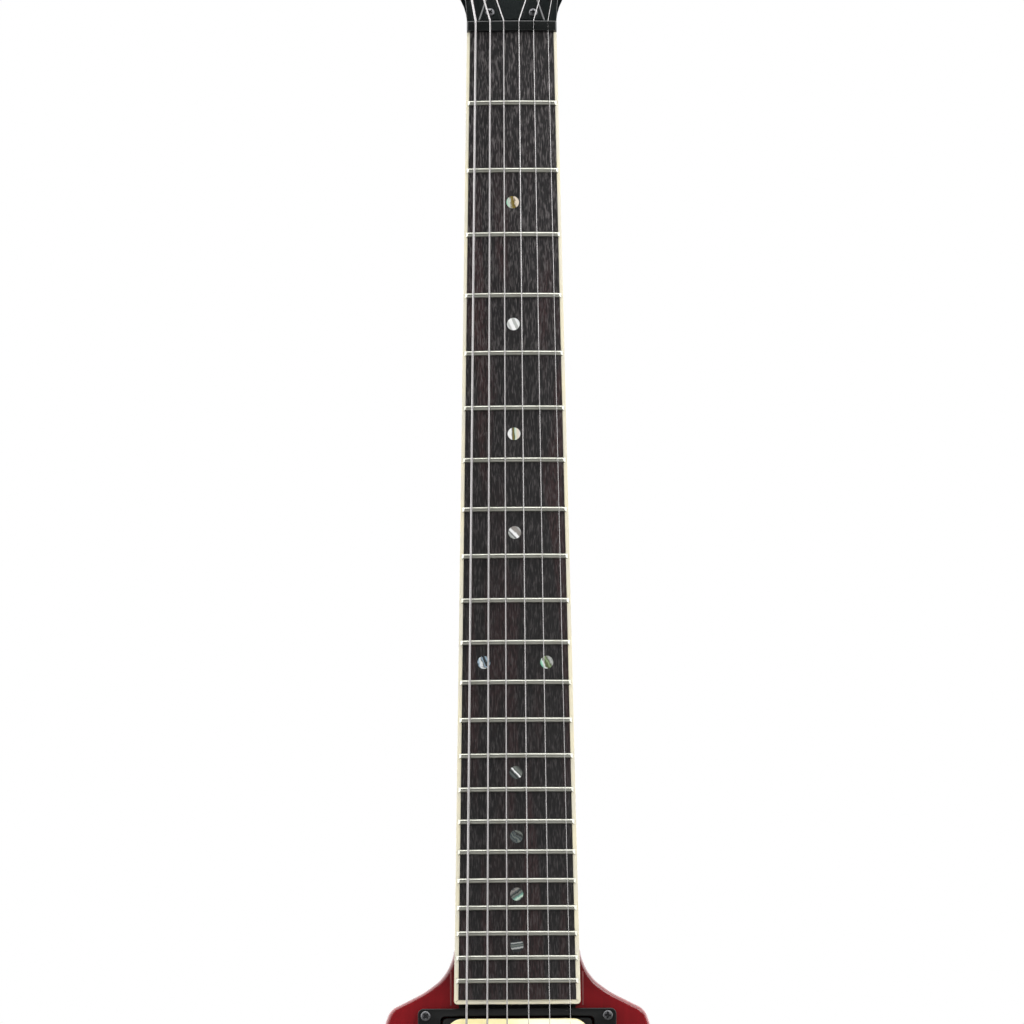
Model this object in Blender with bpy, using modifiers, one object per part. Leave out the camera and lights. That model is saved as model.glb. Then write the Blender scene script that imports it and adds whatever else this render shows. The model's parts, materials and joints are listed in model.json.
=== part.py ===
"""A v-shaped electric guitar with a set neck, two pickups and strings that run through the body.

It stands upright: +Z runs up the neck, the front faces -Y, the low E string is at -X and the wing
tips touch z = 0. Every size is in metres. Three empties carry the pieces: the guitar's own, whose
origin is the end of the fingerboard on the front of the body, the neck's, tilted back by the neck
angle, and the headstock's, tilted back again.
"""

import math

import bmesh
import bpy
from mathutils import Matrix, Vector

# Clearances
SEAM = 0.0001
FIT = 0.0003

# Neck and fingerboard
SCALE_LENGTH = 0.62865
FRET_COUNT = 22
BOARD_TAIL = 0.010655
BOARD_LENGTH = SCALE_LENGTH * (1 - 2 ** (-FRET_COUNT / 12)) + BOARD_TAIL
BOARD_NUT_WIDTH = 0.0431
BOARD_END_WIDTH = 0.0582
BOARD_THICKNESS = 0.006
BOARD_RADIUS = 0.305
BINDING_WIDTH = 0.0016
BINDING_STEP = 0.0002
FRET_WIDTH = 0.0024
FRET_HEIGHT = 0.0012
FRET_OVERHANG = 0.0008
FRET_END_SLOPE = 0.0006
FRET_SEAT = 0.0004
NUT_THICKNESS = 0.005
NUT_WALL = 0.0006
NECK_ANGLE = math.radians(3)
NECK_RISE = 0.0022
NECK_DEPTH_AT_NUT = 0.0145
NECK_DEPTH_AT_MIDDLE = 0.0165
NECK_DEPTH_AT_HEEL = 0.036
HEEL_LENGTH = 0.062
TENON_WIDTH = 0.038
TENON_DEPTH = 0.028
TENON_TONGUE = 0.0225
TENON_OVERLAP = 0.006
TONGUE_THICKNESS = 0.0085
ROD_WIDTH = 0.006
ROD_DEPTH = 0.0084
ROD_START = 0.0195
ROD_STUD_RADIUS = 0.0023
ROD_NUT_RADIUS = 0.0039
ROD_NUT_LENGTH = 0.010
ROD_NUT_OFFSET = 0.0022

# Headstock
HEAD_ANGLE = math.radians(14)
HEAD_THICKNESS = 0.0135
HEAD_PLATE_THICKNESS = 0.0015
HEAD_FOOT_WIDTH = 0.0431
HEAD_WAIST_WIDTH = 0.044
HEAD_WAIST = 0.0178
HEAD_WAIST_RADIUS = 0.020
HEAD_BLANK = 0.010
HEAD_CHEEK_WIDTH = 0.083
HEAD_CHEEK = 0.048
HEAD_SHOULDER_WIDTH = 0.114
HEAD_SHOULDER = 0.130
HEAD_TIP_WIDTH = 0.124
HEAD_LENGTH = 0.168
HEAD_PRONG_WIDTH = 0.015
HEAD_NOTCH = 0.100
HEAD_CORNER_RADIUS = 0.005
COVER_WIDTH = 0.0325
COVER_LENGTH = 0.056
COVER_THICKNESS = 0.002
COVER_CORNER_RADIUS = 0.001
COVER_TIP_RADIUS = 0.004
COVER_OFFSET = 0.0004
POCKET_WIDTH = 0.011
POCKET_LENGTH = 0.030
POCKET_DEPTH = 0.010

# Strings, from 1, the high E, to 6, the low E
STRING_COUNT = 6
STRING_GAUGES = (0.000254, 0.00033, 0.00043, 0.00066, 0.00091, 0.00117)
STRING_SPREAD_AT_NUT = 0.0345
STRING_SPREAD_AT_BRIDGE = 0.0517
STRING_HEIGHT_AT_NUT = 0.0018
STRING_HEIGHT_AT_BRIDGE = 0.0042
STRING_LOOPS = 2
STRING_LOOP_GAP = 0.0005
STRING_LOOP_POINTS = 12
STRING_LIFT_AT_POST = 0.0045
STRING_PLATE_DISTANCE = 0.050

# Machine heads
POST_DISTANCES = (0.048, 0.084, 0.120)
POST_OFFSETS = (0.0286, 0.0355, 0.0425)
KEY_TURN = math.radians(11.3)
POST_RADIUS = 0.003
POST_HEIGHT = 0.0135
POST_CHAMFER = 0.0005
WHEEL_TEETH = 14
WORM_PITCH = 0.0016
WHEEL_TIP = 0.00045
WHEEL_ROOT = 0.00062
WHEEL_THICKNESS = 0.0016
WHEEL_DEPTH = 0.0050
WORM_PITCH_RADIUS = 0.0016
WORM_TIP = 0.00042
WORM_ROOT = 0.00060
WORM_TURNS = 4
WORM_SIDES = 8
KEY_SHAFT_RADIUS = 0.0014
KEY_REACH = 0.0270
KEY_LENGTH = 0.013
KEY_WIDTH = 0.0165
KEY_THICKNESS = 0.0065
HOUSING_INNER = 0.0075
HOUSING_OUTER = 0.0085
HOUSING_SIDE = 0.0065
HOUSING_WORM_SIDE = 0.0035
HOUSING_DEPTH = 0.0106
HOUSING_WALL = 0.0012
BUSHING_RADIUS = 0.005
BUSHING_WASHER_RADIUS = 0.0066
BUSHING_WASHER = 0.0018

# Body
BODY_THICKNESS = 0.040
BODY_EDGE_RADIUS = 0.003
HEEL_WIDTH = 0.0591
SHOULDER_TOP = 0.027
SHOULDER_CREASE = 0.0135
SHOULDER_HOLLOW_RADIUS = 0.0194
SHOULDER_WIDTH = 0.1151
SHOULDER_DROP = 0.0007
SHOULDER_RADIUS = 0.0099
WING_SPAN = 0.428
WING_TIP_DROP = 0.436
WING_TIP_RADIUS = 0.022
WING_INNER_SPAN = 0.206
WING_INNER_DROP = 0.474
WING_INNER_RADIUS = 0.018
NOTCH_DROP = 0.275
NOTCH_RADIUS = 0.013

# Pickups
RING_WIDTH = 0.091
RING_LENGTH = 0.046
RING_CORNER_RADIUS = 0.005
RING_OFFSET = 0.0021
NECK_RING_HEIGHT = 0.005
BRIDGE_RING_HEIGHT = 0.010
PICKUP_WIDTH = 0.0686
PICKUP_LENGTH = 0.038
PICKUP_DEPTH = 0.017
PICKUP_STAND = 0.0032
BOBBIN_WIDTH = 0.066
BOBBIN_LENGTH = 0.0182
BOBBIN_HEIGHT = 0.003
BOBBIN_RADIUS = 0.0078
PICKUP_CORNER_RADIUS = 0.002
ROUT_WIDTH = 0.072
ROUT_LENGTH = 0.040
ROUT_DEPTH = 0.019
ROUT_CORNER_RADIUS = 0.003
BRIDGE_PICKUP_RISE = 0.0449
CHANNEL_RADIUS = 0.004
CHANNEL_DEPTH = 0.014

# Bridge
BRIDGE_WIDTH = 0.086
BRIDGE_LENGTH = 0.013
BRIDGE_THICKNESS = 0.007
BRIDGE_CORNER_RADIUS = 0.006
BRIDGE_TROUGH_LENGTH = 0.0092
BRIDGE_TROUGH_DEPTH = 0.0046
SADDLE_WIDTH = 0.0096
SADDLE_LENGTH = 0.0044
SADDLE_RIDGE = 0.0008
SADDLE_RISE = 0.0034
SADDLE_OFFSETS = (0.0012, 0.0005, -0.0003, 0.0004, -0.0004, -0.0011)
SADDLE_SCREW_RADIUS = 0.0011
POST_SPREAD = 0.074
BRIDGE_POST_TIP_RADIUS = 0.0028
BRIDGE_POST_TIP = 0.0005
BRIDGE_POST_RADIUS = 0.0038
BRIDGE_POST_DEPTH = 0.020
BRIDGE_TRAVEL = 0.003
THUMBWHEEL_RADIUS = 0.007
THUMBWHEEL_THICKNESS = 0.002
STRING_PLATE_WIDTH = 0.072
STRING_PLATE_LENGTH = 0.012
STRING_PLATE_THICKNESS = 0.0022
STRING_PLATE_RADIUS = 0.0055
STRING_HOLE_RADIUS = 0.0011
BALL_HOLE_RADIUS = 0.0023
BALL_HOLE_DEPTH = 0.0045
FERRULE_BLOCK_DEPTH = 0.008

# Controls
CONTROLS_INSET = 0.0538
CONTROLS_DROP = 0.235
CONTROL_PITCH = 0.0478
JACK_PITCH = 0.038
CAVITY_WIDTH = 0.046
CAVITY_MARGIN = 0.022
CAVITY_CORNER_RADIUS = 0.012
CAVITY_ROOF = 0.0072
COVER_PLATE_THICKNESS = 0.0025
COVER_PLATE_LIP = 0.006
POT_RADIUS = 0.012
POT_HEIGHT = 0.0085
POT_BUSH_RADIUS = 0.0047
POT_BUSH_RISE = 0.0035
POT_BORE_RADIUS = 0.0033
KNOB_SHAFT_RADIUS = 0.003
KNOB_SHAFT_DEPTH = 0.008
KNOB_RADIUS = 0.0127
KNOB_HEIGHT = 0.0165
KNOB_CHAMFER = 0.0012
KNOB_HOLLOW_RADIUS = 0.006
KNOB_SIDES = 16
SWITCH_BUSH_RADIUS = 0.0058
SWITCH_BORE_RADIUS = 0.0034
SWITCH_RISE = 0.0016
SWITCH_WASHER_RADIUS = 0.009
SWITCH_FRAME_WIDTH = 0.016
SWITCH_FRAME_LENGTH = 0.030
SWITCH_FRAME_DEPTH = 0.019
SWITCH_FRAME_WALL = 0.0015
LEVER_PIVOT_DEPTH = 0.004
LEVER_RADIUS = 0.0012
LEVER_TAIL = 0.010
LEVER_BALL_SIDES = 6
LEVER_HEIGHT = 0.024
LEVER_TIP_RADIUS = 0.0036
LEVER_TIP_LENGTH = 0.012
JACK_FLANGE_RADIUS = 0.015
JACK_FLANGE_THICKNESS = 0.0015
JACK_NUT_RADIUS = 0.0078
JACK_NUT_RISE = 0.0036
JACK_BARREL_RADIUS = 0.0057
JACK_BARREL_DEPTH = 0.024
JACK_BORE_RADIUS = 0.0034

# Strap buttons
STRAP_HEAD_RADIUS = 0.0075
STRAP_WAIST_RADIUS = 0.0042
STRAP_FOOT_RADIUS = 0.0065
STRAP_HEIGHT = 0.0125
STRAP_CHAMFER = 0.001
STRAP_RIM = 0.0015
STRAP_SCREW_RADIUS = 0.002
STRAP_SCREW_LENGTH = 0.016
STRAP_HEEL_DROP = 0.036
STRAP_WING_SHARE = 0.88

ARC_STEP = math.radians(20)
ROUND_SIDES = 12
MERGE_DISTANCE = 1e-6

# Places worked out from the sizes
NUT_BACK = BOARD_LENGTH + NUT_THICKNESS
NECK = Matrix.Translation((0, -NECK_RISE, 0)) @ Matrix.Rotation(-NECK_ANGLE, 4, "X")
HEAD_ON_NECK = Matrix.Translation((0, 0, NUT_BACK)) @ Matrix.Rotation(-HEAD_ANGLE, 4, "X")
HEAD = NECK @ HEAD_ON_NECK
FACE_FRONT = Matrix.Rotation(math.radians(90), 4, "X")
FACE_BACK = Matrix.Rotation(math.radians(-90), 4, "X")
BRIDGE_ON_NECK = Vector((0, -BOARD_THICKNESS - STRING_HEIGHT_AT_BRIDGE, BOARD_LENGTH - SCALE_LENGTH))
BRIDGE_HEIGHT = (NECK @ BRIDGE_ON_NECK).z
STRING_PLATE_HEIGHT = BRIDGE_HEIGHT - STRING_PLATE_DISTANCE
NECK_RING_CENTRE = -RING_OFFSET - RING_LENGTH / 2
BRIDGE_RING_CENTRE = BRIDGE_HEIGHT + BRIDGE_PICKUP_RISE
CAVITY_LENGTH = 3 * CONTROL_PITCH + JACK_PITCH + 2 * CAVITY_MARGIN
WING_SLOPE = (WING_SPAN - SHOULDER_WIDTH) / 2 / (WING_TIP_DROP - SHOULDER_DROP)
WING_EDGE_X = SHOULDER_WIDTH / 2 + WING_SLOPE * (CONTROLS_DROP - SHOULDER_DROP)
CONTROLS = Matrix.Translation((WING_EDGE_X - CONTROLS_INSET, 0, -CONTROLS_DROP)) @ Matrix.Rotation(
    -math.atan(WING_SLOPE), 4, "Y"
)


# Scene helpers


def new_collection(name):
    """A new collection in the scene."""
    collection = bpy.data.collections.new(name)
    bpy.context.scene.collection.children.link(collection)
    return collection


def new_material(name, colour, roughness, metallic=0.0):
    """A Principled material of one colour."""
    material = bpy.data.materials.new(name)
    material.use_nodes = True
    shader = material.node_tree.nodes["Principled BSDF"]
    shader.inputs["Base Color"].default_value = (*colour, 1)
    shader.inputs["Roughness"].default_value = roughness
    shader.inputs["Metallic"].default_value = metallic
    material.diffuse_color = (*colour, 1)
    return material


def new_frame(name, parent=None, place=None):
    """An empty that carries pieces."""
    empty = bpy.data.objects.new(name, None)
    bpy.data.collections["guitar"].objects.link(empty)
    empty.empty_display_size = 0.02
    empty.parent = parent
    if place is not None:
        empty.matrix_basis = place
    return empty


def new_piece(name, data, material, parent, place=None):
    """A named piece of the guitar."""
    piece = bpy.data.objects.new(name, data)
    bpy.data.collections["guitar"].objects.link(piece)
    piece.parent = parent
    if place is not None:
        piece.matrix_basis = place
    data.materials.append(bpy.data.materials[material])
    return piece


def new_helper(name, data, parent, place=None):
    """A cutter, or a shape that is joined to a piece, which isn't a piece of its own."""
    helper = bpy.data.objects.new(name, data)
    bpy.data.collections["cutters"].objects.link(helper)
    helper.parent = parent
    if place is not None:
        helper.matrix_basis = place
    helper.hide_render = True
    helper.display_type = "WIRE"
    return helper


def combine(piece, operation, helper):
    """Cuts the helper out of the piece, or joins it on."""
    modifier = piece.modifiers.new(helper.name, "BOOLEAN")
    modifier.operation = operation
    modifier.object = helper


def cut(piece, helper):
    """Cuts the helper out of the piece."""
    combine(piece, "DIFFERENCE", helper)


def join(piece, helper):
    """Joins the helper on to the piece."""
    combine(piece, "UNION", helper)


def round_edges(piece, width, segments):
    """Rounds the edges where faces meet at more than 60 degrees."""
    bevel = piece.modifiers.new("rounded edges", "BEVEL")
    bevel.width = width
    bevel.segments = segments
    bevel.limit_method = "ANGLE"
    bevel.angle_limit = math.radians(60)


# Modelling helpers


def rounded(corners):
    """The points of a closed outline whose corners (x, y, radius) are rounded by arcs.

    An arc may use half of the line to the next round corner, or all of the line to a sharp one.
    """
    points = []
    for index, (x, y, radius) in enumerate(corners):
        corner = Vector((x, y))
        before, after = corners[index - 1], corners[(index + 1) % len(corners)]
        back = Vector(before[:2]) - corner
        on = Vector(after[:2]) - corner
        half = back.angle(on) / 2
        room = min(
            back.length * (0.5 if before[2] else 1),
            on.length * (0.5 if after[2] else 1),
        )
        radius = min(radius, room * math.tan(half))
        turn = math.pi - 2 * half
        if radius < SEAM or turn < math.radians(2):
            points.append((x, y))
            continue
        middle = (back.normalized() + on.normalized()).normalized()
        centre = corner + middle * radius / math.sin(half)
        start = back.normalized() * radius / math.tan(half) + corner - centre
        sense = 1 if back.x * on.y - back.y * on.x < 0 else -1
        steps = max(1, math.ceil(turn / ARC_STEP))
        for step in range(steps + 1):
            arm = Matrix.Rotation(sense * turn * step / steps, 2) @ start
            points.append(tuple(centre + arm))
    return points


def rounded_box(width, length, radius, centre=(0, 0)):
    """The outline of a rectangle with round corners."""
    x, y = centre
    sides = ((1, 1), (-1, 1), (-1, -1), (1, -1))
    return rounded([(x + i * width / 2, y + j * length / 2, radius) for i, j in sides])


def both_sides(half, between=()):
    """The corners of a shape that is the same on both sides, from its right half."""
    return [*half, *between, *[(-x, y, radius) for x, y, radius in reversed(half)]]


def grow(low, high, by):
    """A span made longer at both ends."""
    return low - by, high + by


def new_mesh(name, shape):
    """A mesh from a bmesh, shaded smooth with its edges sharp."""
    mesh = bpy.data.meshes.new(name)
    shape.to_mesh(mesh)
    shape.free()
    mesh.shade_smooth()
    mesh.set_sharp_from_angle(angle=math.radians(35))
    return mesh


def box(name, *spans):
    """A box from its three spans (low, high) along X, Y and Z."""
    shape = bmesh.new()
    bmesh.ops.create_cube(shape, size=1)
    bmesh.ops.scale(shape, vec=[high - low for low, high in spans], verts=shape.verts)
    middle = [(high + low) / 2 for low, high in spans]
    bmesh.ops.translate(shape, vec=middle, verts=shape.verts)
    return new_mesh(name, shape)


def rods(name, ends, radius, sides=ROUND_SIDES):
    """Cylinders of one radius, each from its start to its end."""
    shape = bmesh.new()
    for start, end in ends:
        start, end = Vector(start), Vector(end)
        turn = Vector((0, 0, 1)).rotation_difference(end - start).to_matrix().to_4x4()
        bmesh.ops.create_cone(
            shape,
            cap_ends=True,
            segments=sides,
            radius1=radius,
            radius2=radius,
            depth=(end - start).length,
            matrix=Matrix.Translation((start + end) / 2) @ turn,
        )
    return new_mesh(name, shape)


def plate(name, outlines, low, high, turn=None):
    """Flat outlines in X and Y, the inner ones being holes, as thick as low to high along Z."""
    curve = bpy.data.curves.new(name, "CURVE")
    curve.dimensions = "2D"
    curve.fill_mode = "BOTH"
    curve.extrude = (high - low) / 2
    for outline in outlines:
        spline = curve.splines.new("POLY")
        spline.points.add(len(outline) - 1)
        for point, (x, y) in zip(spline.points, outline):
            point.co = (x, y, 0, 1)
        spline.use_cyclic_u = True
    guide = new_helper(name + " outline", curve, None)
    graph = bpy.context.evaluated_depsgraph_get()
    mesh = bpy.data.meshes.new_from_object(guide.evaluated_get(graph))
    bpy.data.objects.remove(guide)
    bpy.data.curves.remove(curve)
    shape = bmesh.new()
    shape.from_mesh(mesh)
    bpy.data.meshes.remove(mesh)
    bmesh.ops.remove_doubles(shape, verts=shape.verts, dist=MERGE_DISTANCE)
    bmesh.ops.dissolve_limit(
        shape, angle_limit=math.radians(1), verts=shape.verts, edges=shape.edges
    )
    bmesh.ops.translate(shape, vec=(0, 0, (high + low) / 2), verts=shape.verts)
    bmesh.ops.transform(shape, matrix=turn or Matrix(), verts=shape.verts)
    return new_mesh(name, shape)


def front_plate(name, outlines, front, back):
    """Outlines in X and Z, from front to back along Y."""
    return plate(name, outlines, -back, -front, FACE_FRONT)


def side_plate(name, outline, half_width):
    """An outline in Y and Z, half_width to each side of the middle."""
    turn = Matrix(((0, 0, 1, 0), (1, 0, 0, 0), (0, 1, 0, 0), (0, 0, 0, 1)))
    return plate(name, [outline], -half_width, half_width, turn)


def loft(name, rings):
    """A skin between rings of as many points each, with flat ends."""
    shape = bmesh.new()
    rows = [[shape.verts.new(point) for point in ring] for ring in rings]
    for low, high in zip(rows, rows[1:]):
        for here in range(len(low)):
            there = (here + 1) % len(low)
            shape.faces.new((low[here], low[there], high[there], high[here]))
    shape.faces.new(rows[0])
    shape.faces.new(rows[-1])
    bmesh.ops.recalc_face_normals(shape, faces=shape.faces)
    return new_mesh(name, shape)


def turned(name, profile, ring=False):
    """The profile (radius, height) of a turned piece, which runs down its outer side."""
    mesh = bpy.data.meshes.new(name)
    count = len(profile)
    edges = [(index, index + 1) for index in range(count - 1)]
    if ring:
        edges.append((count - 1, 0))
    mesh.from_pydata([(radius, 0, height) for radius, height in profile], edges, [])
    return mesh


def turn(piece, sides=ROUND_SIDES):
    """Turns a profile about its object's Z axis."""
    screw = piece.modifiers.new("turned", "SCREW")
    screw.steps = sides
    screw.render_steps = sides
    screw.use_merge_vertices = True
    screw.merge_threshold = MERGE_DISTANCE
    screw.use_smooth_shade = True
    return piece


def tube(name, points, radius):
    """A round wire along its points, with closed ends."""
    curve = bpy.data.curves.new(name, "CURVE")
    curve.dimensions = "3D"
    curve.bevel_depth = radius
    curve.bevel_resolution = 1
    curve.use_fill_caps = True
    spline = curve.splines.new("POLY")
    spline.points.add(len(points) - 1)
    for spline_point, point in zip(spline.points, points):
        spline_point.co = (*point, 1)
    return curve


# Fingerboard, binding, frets and nut


def board_half_width(z):
    """Half the fingerboard's width at a height above its end."""
    share = z / BOARD_LENGTH
    return (BOARD_END_WIDTH * (1 - share) + BOARD_NUT_WIDTH * share) / 2


def crown(x):
    """How far the fingerboard's round top falls at x from its middle."""
    return BOARD_RADIUS - math.sqrt(BOARD_RADIUS**2 - x**2)


def fret_place(number):
    """The height of a fret above the fingerboard's end."""
    return BOARD_LENGTH - SCALE_LENGTH * (1 - 2 ** (-number / 12))


def board_stations(z):
    """Points (x, y) across the fingerboard's top, where its flats meet."""
    half = board_half_width(z) - BINDING_WIDTH - SEAM
    places = [half * share for share in (-1, -0.5, 0, 0.5, 1)]
    return [(x, crown(x) - BOARD_THICKNESS) for x in places]


def board_ring(z, edge=0.0, step=0.0, foot=-SEAM):
    """A section of the fingerboard, its last flats made wider by edge and its top lower by step."""
    top = board_stations(z)
    slope = (top[-1][1] - top[-2][1]) / (top[-1][0] - top[-2][0])
    half = top[-1][0] + edge
    rim = top[-1][1] + slope * edge
    across = [(-half, rim), *top[1:-1], (half, rim)]
    return [(-half, foot, z), *[(x, y + step, z) for x, y in across], (half, foot, z)]


def fret_rings(number):
    """Sections of a fret across the fingerboard, each from one side of its foot to the other."""
    z = fret_place(number)
    top = board_stations(z)
    edge = board_half_width(z) - FRET_OVERHANG
    slope = (top[-1][1] - top[-2][1]) / (top[-1][0] - top[-2][0])
    rim = top[-1][1] + slope * (edge - top[-1][0])
    across = [(-edge, rim), *top[1:-1], (edge, rim)]
    bead = ((-0.5, 0), (-0.3, 0.75), (0, 1), (0.3, 0.75), (0.5, 0))
    rings = []
    for x, y in across:
        end = abs(x) == edge
        lean = -math.copysign(FRET_END_SLOPE, x) if end else 0
        seat = 0 if end else FRET_SEAT
        ring = []
        for along, up in bead:
            height = FRET_HEIGHT * up - (0 if up else seat)
            ring.append((x + lean * up, y - height, z + FRET_WIDTH * along))
        rings.append(ring)
    return rings


def build_fingerboard(neck):
    """The fingerboard with its frets, and the binding round it."""
    end = BINDING_WIDTH + SEAM
    board = new_piece(
        "fingerboard",
        loft("fingerboard", [board_ring(end), board_ring(BOARD_LENGTH)]),
        "fingerboard wood",
        neck,
    )
    for number in range(1, FRET_COUNT + 1):
        name = f"fret {number}"
        join(board, new_helper(name, loft(name, fret_rings(number)), neck))

    whole = BINDING_WIDTH + SEAM
    binding = new_piece(
        "binding",
        loft(
            "binding",
            [board_ring(z, whole, BINDING_STEP) for z in (0, BOARD_LENGTH)],
        ),
        "binding cream",
        neck,
    )
    deep, high = BOARD_THICKNESS, BOARD_LENGTH + NUT_THICKNESS
    inside = [
        board_ring(BINDING_WIDTH, SEAM, -deep, deep),
        board_ring(high, SEAM, -deep, deep),
    ]
    cut(binding, new_helper("fingerboard room", loft("fingerboard room", inside), neck))


def string_x(string, spread):
    """How far a string lies from the middle, where the outer strings are spread apart."""
    return spread * (0.5 - (string - 1) / (STRING_COUNT - 1))


def string_radius(string):
    """Half the string's gauge."""
    return STRING_GAUGES[string - 1] / 2


def build_nut(neck):
    """The nut, with a slot for each string."""
    half = BOARD_NUT_WIDTH / 2
    shares = (-1, -0.5, 0, 0.5, 1)
    top = BOARD_THICKNESS + STRING_HEIGHT_AT_NUT + NUT_WALL
    rings = []
    for z in (BOARD_LENGTH + SEAM, NUT_BACK):
        across = [(half * share, crown(half * share) - top, z) for share in shares]
        rings.append([(-half, -SEAM, z), *across, (half, -SEAM, z)])
    nut = new_piece("nut", loft("nut", rings), "nut black", neck)
    for string in range(1, STRING_COUNT + 1):
        x = string_x(string, STRING_SPREAD_AT_NUT)
        room = string_radius(string) + SEAM
        floor = crown(x) - BOARD_THICKNESS - STRING_HEIGHT_AT_NUT + SEAM
        slot = box(
            f"nut slot {string}",
            (x - room, x + room),
            (-2 * top, floor),
            grow(BOARD_LENGTH, NUT_BACK, NUT_THICKNESS),
        )
        cut(nut, new_helper(slot.name, slot, neck))


# Neck and headstock


def neck_ring(z, depth, squareness, points=14):
    """A section of the neck behind the fingerboard, from a half round to nearly square."""
    half = board_half_width(z)
    ring = []
    for index in range(points + 1):
        angle = math.pi * index / points
        across, down = -math.cos(angle), math.sin(angle)
        x = half * math.copysign(abs(across) ** (2 / squareness), across)
        ring.append(Vector((x, depth * down ** (2 / squareness), z)))
    return ring


def head_ring(z, half, squareness):
    """A section where the neck turns into the headstock, worked out in the headstock's frame."""
    ring = []
    for point in neck_ring(0, HEAD_THICKNESS, squareness):
        x = point.x * half / board_half_width(0)
        ring.append(HEAD_ON_NECK @ Vector((x, point.y, z)))
    return ring


def head_half():
    """The corners of the headstock's right half, from its cheek to its notch."""
    tip = HEAD_TIP_WIDTH / 2
    return [
        (HEAD_CHEEK_WIDTH / 2, HEAD_CHEEK, 0.030),
        (HEAD_SHOULDER_WIDTH / 2, HEAD_SHOULDER, 0.060),
        (tip, HEAD_LENGTH, HEAD_CORNER_RADIUS),
        (tip - HEAD_PRONG_WIDTH, HEAD_LENGTH, HEAD_CORNER_RADIUS),
    ]


def head_outline(foot):
    """The headstock's outline, above the corners of its foot."""
    notch = [(0, HEAD_NOTCH, HEAD_CORNER_RADIUS)]
    return rounded(both_sides([*foot, *head_half()], notch))


def post_places():
    """(number, x, z, side) of each tuner post on the headstock, side being +1 on the treble side."""
    places = []
    for index in range(len(POST_DISTANCES)):
        places.append((index + 1, POST_OFFSETS[index], POST_DISTANCES[index], 1))
        places.append((STRING_COUNT - index, -POST_OFFSETS[index], POST_DISTANCES[index], -1))
    return sorted(places)


def bushing_holes(name, front, back):
    """Cutters for the six bushings."""
    ends = [((x, front, z), (x, back, z)) for _, x, z, _ in post_places()]
    return rods(name, ends, BUSHING_RADIUS + FIT)


def tenon_outline(gap):
    """The tenon from the side: it fills the pocket up to the pickup, and its tongue runs on below."""
    rout = -RING_OFFSET - RING_LENGTH / 2 + ROUT_LENGTH / 2
    tongue = TENON_DEPTH - TONGUE_THICKNESS
    return [
        (-NECK_RISE / 4, SHOULDER_TOP + TENON_OVERLAP),
        (-NECK_RISE / 4, NECK_RISE / 4),
        (gap, NECK_RISE / 4),
        (gap, rout + gap),
        (tongue + gap, rout + gap),
        (tongue + gap, rout - TENON_TONGUE),
        (TENON_DEPTH, rout - TENON_TONGUE),
        (TENON_DEPTH, SHOULDER_TOP + TENON_OVERLAP),
    ]


def build_neck(guitar, neck, head):
    """The neck with its tenon and headstock, and the black plate on the headstock."""
    stations = [
        (0, NECK_DEPTH_AT_HEEL, 5.0),
        (SHOULDER_TOP + 0.002, NECK_DEPTH_AT_HEEL, 5.0),
        (SHOULDER_TOP + 0.25 * HEEL_LENGTH, 0.85 * NECK_DEPTH_AT_HEEL, 4.0),
        (SHOULDER_TOP + 0.5 * HEEL_LENGTH, 0.62 * NECK_DEPTH_AT_HEEL, 3.0),
        (SHOULDER_TOP + HEEL_LENGTH, 0.5 * NECK_DEPTH_AT_HEEL, 2.4),
        (BOARD_LENGTH / 2, NECK_DEPTH_AT_MIDDLE, 2.2),
        (BOARD_LENGTH - 0.02, NECK_DEPTH_AT_NUT, 2.2),
        (NUT_BACK, NECK_DEPTH_AT_NUT, 2.3),
    ]
    rings = [neck_ring(*station) for station in stations]
    rings.append(head_ring(HEAD_BLANK / 2, HEAD_FOOT_WIDTH / 2, 3.0))
    rings.append(head_ring(1.4 * HEAD_BLANK, HEAD_WAIST_WIDTH / 2, 7.0))
    piece = new_piece("neck", loft("neck", rings), "neck wood", neck)

    body_room = box(
        "body room",
        (-HEEL_WIDTH, HEEL_WIDTH),
        (-SEAM, 2 * BODY_THICKNESS),
        (-BODY_THICKNESS, SHOULDER_TOP + SEAM),
    )
    cut(piece, new_helper("body room", body_room, guitar))
    tenon = side_plate("tenon", tenon_outline(SEAM), TENON_WIDTH / 2)
    join(piece, new_helper("tenon", tenon, guitar))

    waist = (HEAD_WAIST_WIDTH / 2, HEAD_WAIST, HEAD_WAIST_RADIUS)
    foot = [(HEAD_FOOT_WIDTH / 2, HEAD_BLANK, 0), waist]
    blank = front_plate("headstock", [head_outline(foot)], 0, HEAD_THICKNESS)
    join(piece, new_helper("headstock", blank, head))
    holes = bushing_holes("bushing holes", -HEAD_THICKNESS, 2 * HEAD_THICKNESS)
    holes = new_helper("bushing holes", holes, head)
    cut(piece, holes)
    channel = box(
        "truss rod channel",
        (-ROD_WIDTH / 2 - FIT, ROD_WIDTH / 2 + FIT),
        (-ROD_DEPTH, ROD_DEPTH + 2 * FIT),
        (ROD_START - FIT, NUT_BACK + ROD_NUT_LENGTH),
    )
    cut(piece, new_helper("truss rod channel", channel, neck))
    pocket = box(
        "truss rod pocket",
        (-POCKET_WIDTH / 2, POCKET_WIDTH / 2),
        (-POCKET_DEPTH, POCKET_DEPTH),
        (-ROD_WIDTH / 2, POCKET_LENGTH),
    )
    pocket = new_helper("truss rod pocket", pocket, head)
    cut(piece, pocket)

    foot = [(HEAD_FOOT_WIDTH / 2, FIT, 0), waist]
    veneer = front_plate(
        "head_plate", [head_outline(foot)], -SEAM - HEAD_PLATE_THICKNESS, -SEAM
    )
    veneer = new_piece("head_plate", veneer, "headstock black", head)
    cut(veneer, holes)
    cut(veneer, pocket)


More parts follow.
